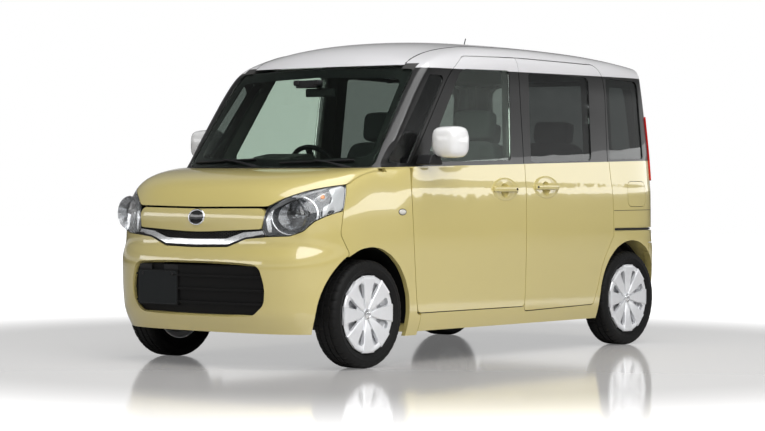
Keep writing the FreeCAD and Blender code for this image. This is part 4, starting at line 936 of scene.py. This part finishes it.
def swept(name, path, widths, heights):
    """Bar of rectangular section with softened corners, swept along points."""
    mesh = bmesh.new()
    rings = []
    for k, (point, width, height) in enumerate(zip(path, widths, heights)):
        ahead = (path[min(k + 1, len(path) - 1)] - path[max(k - 1, 0)]).normalized()
        across = ahead.cross(SCREEN_OUT).normalized()
        out = across.cross(ahead).normalized()
        rings.append([mesh.verts.new(point + across * (a * width / 2) + out * (b * height / 2)) for a,
                      b in BAR_SECTION])
    skin(mesh, rings)
    mesh.faces.new(rings[0])
    mesh.faces.new(list(reversed(rings[-1])))
    return piece(name, mesh, BLACK_PLASTIC)


for number, (start, end, spindle) in enumerate(WIPER_RUNS):
    blade = [on_screen(*Vector(start).lerp(Vector(end), k / 16), 0.0065) for k in range(17)]
    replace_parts(swept("wiper_blade_" + str(number), blade, BLADE_WIDTHS, [0.011] * 17), "wipers")
    grip = blade[8] + SCREEN_OUT * 0.010
    root = Vector((spindle[0], -1.098, spindle[1] + 0.006))
    arm = [root.lerp(grip, k / 10) + SCREEN_OUT * (0.010 * math.sin(math.pi * k / 10)) for k in range(11)]
    swept("wiper_arm_" + str(number), arm, ARM_WIDTHS, ARM_HEIGHTS)
    cap = bmesh.new()
    stud(cap, root - UPWARD * 0.002, (SIDEWAYS, REARWARD, UPWARD), 0.014, 0.011, 0.020, 28)
    round_edges(cap, [e for e in cap.edges if min(v.co.z for v in e.verts) > root.z], 0.002, 2)
    piece("wiper_spindle_" + str(number), cap, BLACK_PLASTIC)

# Door handles: a painted pull bar across a cupped escutcheon, screwed through the door skin.
# The front bar has its lock button at the rear end and the sliding door's bar at the front.
HANDLES = [("front_", -0.005, 0.911, 1), ("rear_", 0.388, 0.923, -1)]
HANDLE_HALF = 0.113
HANDLE_HEIGHT = 0.029
HANDLE_DEPTH = 0.016
BUTTON_PLACE = 0.094
for side, label in SIDES:
    for door, y, z, button_end in HANDLES:
        node = "door_" + door + label
        body = "door_" + label if door == "front_" else "body"
        middle = Vector((side * 0.737, y, z))
        outer = oval(middle, REARWARD, 0.122, 0.062)
        inner = oval(middle - UPWARD * 0.003, REARWARD, 0.046, 0.046)
        mesh = laid_form(node, outer, inner, SIDEWAYS * -side,
                         [(0.0, -0.0010), (0.03, 0.0012), (0.10, 0.0022), (0.55, 0.0016)])
        piece("handle_plate_" + door + label, mesh, PANEL_PAINT, body, crease=0)
        spot = surface_point(node, (side * 0.95, y - 0.095, z), SIDEWAYS * -side)
        bar = bmesh.new()
        bmesh.ops.create_cube(bar, size=1.0)
        lengthwise = [e for e in bar.edges if abs(e.verts[0].co.y - e.verts[1].co.y) > 0.5]
        bmesh.ops.subdivide_edges(bar, edges=lengthwise, cuts=9)
        for vert in bar.verts:
            along = vert.co.y * 2
            out = vert.co.x * side * HANDLE_DEPTH + 0.006 + 0.005 * (1.0 - along * along)
            vert.co = Vector((spot.x + side * out, y + along * HANDLE_HALF, z + vert.co.z * HANDLE_HEIGHT))
        ends = [e for e in bar.edges if abs(e.verts[0].co.y - e.verts[1].co.y) < 0.001]
        ends = [e for e in ends if abs(abs(e.verts[0].co.y - y) - HANDLE_HALF) < 0.0001]
        ends += [e for e in bar.edges if abs(e.verts[0].co.y - e.verts[1].co.y) > 0.001]
        round_edges(bar, ends, 0.0065, 4)
        piece("handle_bar_" + door + label, bar, PANEL_PAINT, body, crease=40)
        button = bmesh.new()
        place = Vector((spot.x + side * 0.0150, y + button_end * BUTTON_PLACE, z))
        stud(button, place, (REARWARD, UPWARD, SIDEWAYS * side), 0.0075, 0.0066, 0.004, 24)
        piece("handle_button_" + door + label, button, BLACK_GLOSS, body)

# Side turn lamps: small oval clear lenses over an amber bulb, each in a black rim that is
# clipped into its fender.
TURN_LAMP = (0.745, -0.906, 0.791)
CLEAR_GREY = finish("clear ribbed lens", (0.62, 0.60, 0.55), 0.18, "white_plastic", scale=300, variation=0.5,
                    bump=0.0003, wear=0.0, Coat_Weight=1.0)
for side, label in SIDES:
    middle = flip(TURN_LAMP, side)
    outer = oval(middle, REARWARD, 0.032, 0.0175, 48)
    inner = oval(middle, REARWARD, 0.028, 0.0140, 48)
    mesh = laid_form("fender_" + label, outer, inner, SIDEWAYS * -side,
                     [(0.0, -0.0005), (0.2, 0.0012), (1.0, 0.0014)])
    piece("turn_lamp_rim_" + label, mesh, BLACK_PLASTIC, crease=0)
    mesh = laid_form("fender_" + label, inner, middle, SIDEWAYS * -side,
                     [(0.0, 0.0010), (0.10, 0.0040), (0.35, 0.0058), (0.7, 0.0066), (1.0, 0.0068)])
    piece("turn_lamp_lens_" + label, mesh, CLEAR_GREY, crease=0)

# Roof ditch mouldings: black rubber strips pressed into the two roof seams, where the roof
# panel meets the side frames.
DITCH_X = 0.525
DITCH_HALF = 0.0055
DITCH_RUN = (-0.700, 1.600)
DITCH_STEPS = 60
DITCH_CROWN = ((0.0, -0.0004), (0.15, 0.0008), (0.5, 0.0014), (0.85, 0.0008), (1.0, -0.0004))
for side, label in SIDES:
    strip = bmesh.new()
    rows = []
    for k in range(DITCH_STEPS + 1):
        y = DITCH_RUN[0] + (DITCH_RUN[1] - DITCH_RUN[0]) * k / DITCH_STEPS
        near = surface_point("roof_panel", (side * (DITCH_X - DITCH_HALF), y, 2.0), -UPWARD)
        far = surface_point("side_frame_" + label, (side * (DITCH_X + DITCH_HALF), y, 2.0), -UPWARD)
        if near and far:
            rows.append([strip.verts.new(near.lerp(far, share) + UPWARD * lift) for share,
                         lift in DITCH_CROWN])
    skin(strip, rows, closed=False)
    piece("roof_ditch_" + label, strip, BLACK_PLASTIC, crease=0)

# Rear quarter seam: the thin joint between the quarter panel and the lower rear corner, drawn
# on the pressing as a narrow dark strip.
SEAM_RUN = [(1.075, 0.789), (1.20, 0.790), (1.33, 0.791), (1.45, 0.792), (1.56, 0.792), (1.60, 0.785)]
SEAM_LIFT = 0.0006
SEAM_WIDTH_HALF = 0.0014
for side, label in SIDES:
    line = bmesh.new()
    rows = []
    for start, end in zip(SEAM_RUN, SEAM_RUN[1:]):
        for k in range(8):
            y, z = Vector(start).lerp(Vector(end), k / 8)
            spot = surface_point("side_frame_" + label, (side * 0.95, y, z), SIDEWAYS * -side)
            if spot:
                rows.append([line.verts.new(spot + Vector((side * SEAM_LIFT, 0, rise)))
                             for rise in (-SEAM_WIDTH_HALF, SEAM_WIDTH_HALF)])
    skin(line, rows, closed=False)
    piece("quarter_seam_" + label, line, BLACK_PLASTIC, crease=0)

# Tail lamps: a moulded red outer lens with a clear reversing panel and an amber turn panel set
# into it, each with a soft raised face.
TAIL_BANDS = [("clear_", 1.060, 1.120, CLEAR_GREY), ("amber_", 1.128, 1.190, AMBER)]
TAIL_START = 1.8


def rear_patch(name, node, corners, radius, count, level, rows, material, body, crease=0, spine=None):
    """Moulded patch on a rear face inside rounded (x, z) corners. It closes at its middle, or on
    a level line at the spine's height."""
    outline = face_on(rounded_outline(corners, radius, count), "y", level)
    inner = sum(outline, Vector()) / len(outline)
    if spine:
        inner = [Vector((p.x * 0.97, level, spine)) for p in outline]
    piece(name, laid_form(node, outline, inner, -REARWARD, rows), material, body, crease)


for side, label in SIDES:
    for kind, low, high, material in TAIL_BANDS:
        corners = [(side * x, z) for x, z in ((0.640, low), (0.676, low), (0.672, high), (0.636, high))]
        rear_patch("tail_panel_" + kind + label, "tail_lamps", corners, 0.006, 40, TAIL_START,
                   [(0.0, -0.0005), (0.0, 0.0010), (0.2, 0.0020), (1.0, 0.0022)], material, "body", crease=40)

# Tailgate fittings: a blank plate in its recess, a bright garnish above it, a high stop lamp
# in the spoiler edge and a wiper on its spindle at the foot of the glass.
GATE_START = 1.9
PLATE_WHITE = finish("blank plate", (0.62, 0.62, 0.60), 0.4, "white_plastic", variation=0.05, bump=0.00005,
                     wear=0.05)
REAR_PLATE = [(-0.165, 0.760), (0.165, 0.760), (0.165, 0.925), (-0.165, 0.925)]
GARNISH = [(-0.300, 0.958), (0.300, 0.958), (0.294, 0.992), (-0.294, 0.992)]
STOP_LAMP = [(-0.140, 1.590), (0.140, 1.590), (0.138, 1.612), (-0.138, 1.612)]
REAR_PIVOT = (0.0, 1.075)
REAR_TIP = (-0.36, 1.150)
REAR_ARM_STEPS = 12
rear_patch("rear_plate_blank", "tailgate", REAR_PLATE, 0.008, 72, GATE_START,
           [(0.0, -0.001), (0.0, 0.0022), (0.03, 0.0030), (0.08, 0.0022), (1.0, 0.0022)], PLATE_WHITE,
           "tailgate",
           crease=30)
rear_patch("gate_garnish", "tailgate", GARNISH, 0.012, 96, GATE_START,
           [(0.0, -0.001), (0.0, 0.003), (0.15, 0.0075), (0.5, 0.011), (1.0, 0.012)], CHROME, "tailgate",
           spine=0.975)
rear_patch("high_stop_lamp", "tailgate", STOP_LAMP, 0.008, 72, GATE_START,
           [(0.0, -0.001), (0.0, 0.002), (0.2, 0.0045), (1.0, 0.0055)], RED_LENS, "tailgate", spine=1.601)


def from_behind(node, x, z):
    return surface_point(node, (x, 2.4, z), -REARWARD)


root = from_behind("tailgate", *REAR_PIVOT)
tip = from_behind("tailgate_glass", *REAR_TIP)
arm = bmesh.new()
rows = []
for k in range(REAR_ARM_STEPS + 1):
    share = k / REAR_ARM_STEPS
    x, z = tip.x * share, root.z + (tip.z - root.z) * share
    spot = from_behind("tailgate_glass", x, z) or from_behind("tailgate", x, z) or root
    half = 0.011 - 0.005 * share
    lift = 0.012 + 0.008 * math.sin(math.pi * share)
    rows.append([arm.verts.new(spot + Vector((0, lift + out, across))) for across, out in
                 ((-half, -0.004), (-half, 0.003), (0, 0.006), (half, 0.003), (half, -0.004))])
skin(arm, rows)
arm.faces.new(rows[0])
arm.faces.new(list(reversed(rows[-1])))
piece("rear_wiper_arm", arm, BLACK_PLASTIC, "tailgate")
hub = bmesh.new()
stud(hub, root + REARWARD * 0.010, (SIDEWAYS, UPWARD, REARWARD), 0.024, 0.019, 0.026, 32)
round_edges(hub, [e for e in hub.edges if min(v.co.y for v in e.verts) > root.y + 0.02], 0.003, 3)
piece("rear_wiper_hub", hub, BLACK_PLASTIC, "tailgate")

# Seats: moulded foam on steel frames under dark cloth, with a sewn centre panel and bolsters; the cloth's
# colour is darkened further as painted cabin shade.
# Each pad is a crowned closed form whose seams and channels are pressed into it. A row holds
# the pad's name, its y and z, its size, its lean in degrees and what differs from a plain pad.
SEAM_DEPTH = 0.007
SEAM_HALF = 0.010
PAD_POWER = 6.0
BOLSTER_START = 0.55
PLAIN = {"seams": (), "bolster": 0.0}
SEATS = [("front_", "front_seats", 0.325, [
             ("seat_cushion_", (-0.150, 0.485), (0.470, 0.500, 0.150), 4, {"channels": (-0.45, 0.1)}),
             ("seat_back_", (0.170, 0.860), (0.460, 0.115, 0.640), -11,
              {"taper": 0.10, "channels": (-0.45, 0.05, 0.5)}),
             ("headrest_", (0.262, 1.265), (0.260, 0.095, 0.170), -8, {**PLAIN, "crown": 0.010, "cuts": 9}),
             ("seat_base_", (-0.150, 0.330), (0.400, 0.420, 0.180), 0, {**PLAIN, "crown": 0.0, "cuts": 7})]),
         ("rear_", "rear_seat", 0.265, [
             ("seat_cushion_", (0.740, 0.515), (0.490, 0.470, 0.130), 4, {"channels": (-0.4, 0.15)}),
             ("seat_back_", (1.050, 0.880), (0.485, 0.105, 0.620), -11,
              {"taper": 0.06, "channels": (-0.4, 0.1, 0.55)}),
             ("headrest_", (1.135, 1.245), (0.250, 0.085, 0.130), -8, {**PLAIN, "crown": 0.010, "cuts": 9})])]


def soften(item):
    modifier = item.modifiers.new("soften", "SUBSURF")
    modifier.levels = modifier.render_levels = 1


def groove(distance):
    """Depth of a sewn line at a distance from it."""
    return SEAM_DEPTH * math.exp(-(distance / SEAM_HALF) ** 2)


def pad(name, place, size, lean, taper=0.0, cuts=13, seams=(0.56,), channels=(), crown=0.018, bolster=0.012):
    """Cushion centred at place. size is x, y, z; lean turns it about X; the front is -Y, the top +Z."""
    mesh = pebble(cuts, PAD_POWER)
    upright = size[2] > size[1]
    turn = Matrix.Rotation(math.radians(lean), 3, "X")
    for vert in mesh.verts:
        q = vert.co.copy()
        face, along = (-q.y, q.z) if upright else (q.z, q.y)
        x = q.x * size[0] / 2 * (1 - taper * max(0.0, along))
        y, z = q.y * size[1] / 2, q.z * size[2] / 2
        push = 0.0
        if face > 0.3:
            push = crown * (1 - q.x * q.x) * (1 - along * along)
            push += bolster * max(0.0,
                                  abs(q.x) - BOLSTER_START) / (1 - BOLSTER_START) * (1 - abs(q.x) ** 8) * 2
            for line in seams:
                push -= groove((abs(q.x) - line) * size[0] / 2)
            for line in channels:
                if abs(q.x) < max(seams):
                    push -= groove((along - line) * max(size[1], size[2]) / 2)
        if upright:
            y -= push
        else:
            z += push
        vert.co = Vector(place) + turn @ Vector((x, y, z))
    item = piece(name, mesh, SEAT_CLOTH_WITH_PAINTED_SHADE, crease=0)
    soften(item)
    return item


for side, label in SIDES:
    for row, node, x, pads in SEATS:
        for name, (y, z), size, lean, details in pads:
            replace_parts(pad(name + row + label, (side * x, y, z), size, lean, **details), node)

# Dashboard fittings: a hooded instrument pod over the column, a centre screen and round vents,
# all moulded and clipped into the dash.
POD_CENTRE = Vector((-0.330, -0.700, 1.030))
POD_HALF = Vector((0.150, 0.100, 0.052))
VENT_HEIGHT = 0.930
VENT_PLACES = (-0.600, -0.165, 0.165, 0.600)
VENT_PROFILE = [(0.040, -0.560), (0.040, -0.545), (0.036, -0.540), (0.031, -0.541), (0.030, -0.552),
                (0.012, -0.553),
                (0.011, -0.546), (0.0, -0.545)]
pod = pebble(6, 3.2)
for vert in pod.verts:
    vert.co = POD_CENTRE + vert.co * POD_HALF
soften(piece("instrument_pod", pod, DASH_GREY_WITH_PAINTED_SHADE, crease=0))
screen = bmesh.new()
block(screen, (0, -0.552, 0.900), (0.230, 0.030, 0.135))
round_edges(screen, screen.edges[:], 0.007, 3)
piece("centre_screen", screen, BLACK_GLOSS)
for number, x in enumerate(VENT_PLACES):
    vent = turned(VENT_PROFILE, Vector((x, 0, VENT_HEIGHT)), REARWARD, SIDEWAYS, 32)
    piece("dash_vent_" + str(number), vent, BLACK_PLASTIC)

# Inner mirror and camera pods: moulded black housings bonded to the screen under its dark band,
# with the mirror on a short stalk.
HOUSINGS = [((0.0, -0.690, 1.425), (0.205, 0.022, 0.046)), ((-0.045, -0.735, 1.470), (0.150, 0.060, 0.042)),
            ((0.0, -0.705, 1.450), (0.020, 0.030, 0.030)), ((-0.110, -0.750, 1.477), (0.036, 0.050, 0.030)),
            ((0.030, -0.750, 1.477), (0.036, 0.050, 0.030))]
pods = bmesh.new()
for centre, size in HOUSINGS:
    block(pods, centre, size)
round_edges(pods, pods.edges[:], 0.007, 3)
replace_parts(piece("mirror_and_pods", pods, BLACK_PLASTIC), "inner_mirror")

# Headlining: pressed felt board covered in pale cloth under the roof, held by its edge trims; its colour is
# painted much darker than the pale cloth, as painted shade for the cabin.
# It is domed a little and droops towards its edges.
# Dark grey headliner colour: painted shade for the cabin, not the cloth's own pale tone.
HEADLINER_IN_PAINTED_SHADE = finish("headliner cloth with painted shade", (0.16, 0.155, 0.15), 0.85, "grey_plastic", scale=400, bump=0.0006)
LINING_HALF = (0.505, 1.02)
LINING_MIDDLE = 0.46
LINING_HEIGHT = 1.600
lining = bmesh.new()
for vert in bmesh.ops.create_grid(lining, x_segments=12, y_segments=24, size=0.5)["verts"]:
    x, y = vert.co.x * 2, vert.co.y * 2
    droop = 0.030 * abs(x) ** 3 + 0.020 * abs(y) ** 3
    vert.co = Vector((x * LINING_HALF[0], LINING_MIDDLE + y * LINING_HALF[1], LINING_HEIGHT - droop))
item = piece("headlining", lining, HEADLINER_IN_PAINTED_SHADE, crease=0)
thick = item.modifiers.new("board", "SOLIDIFY")
thick.thickness = 0.004
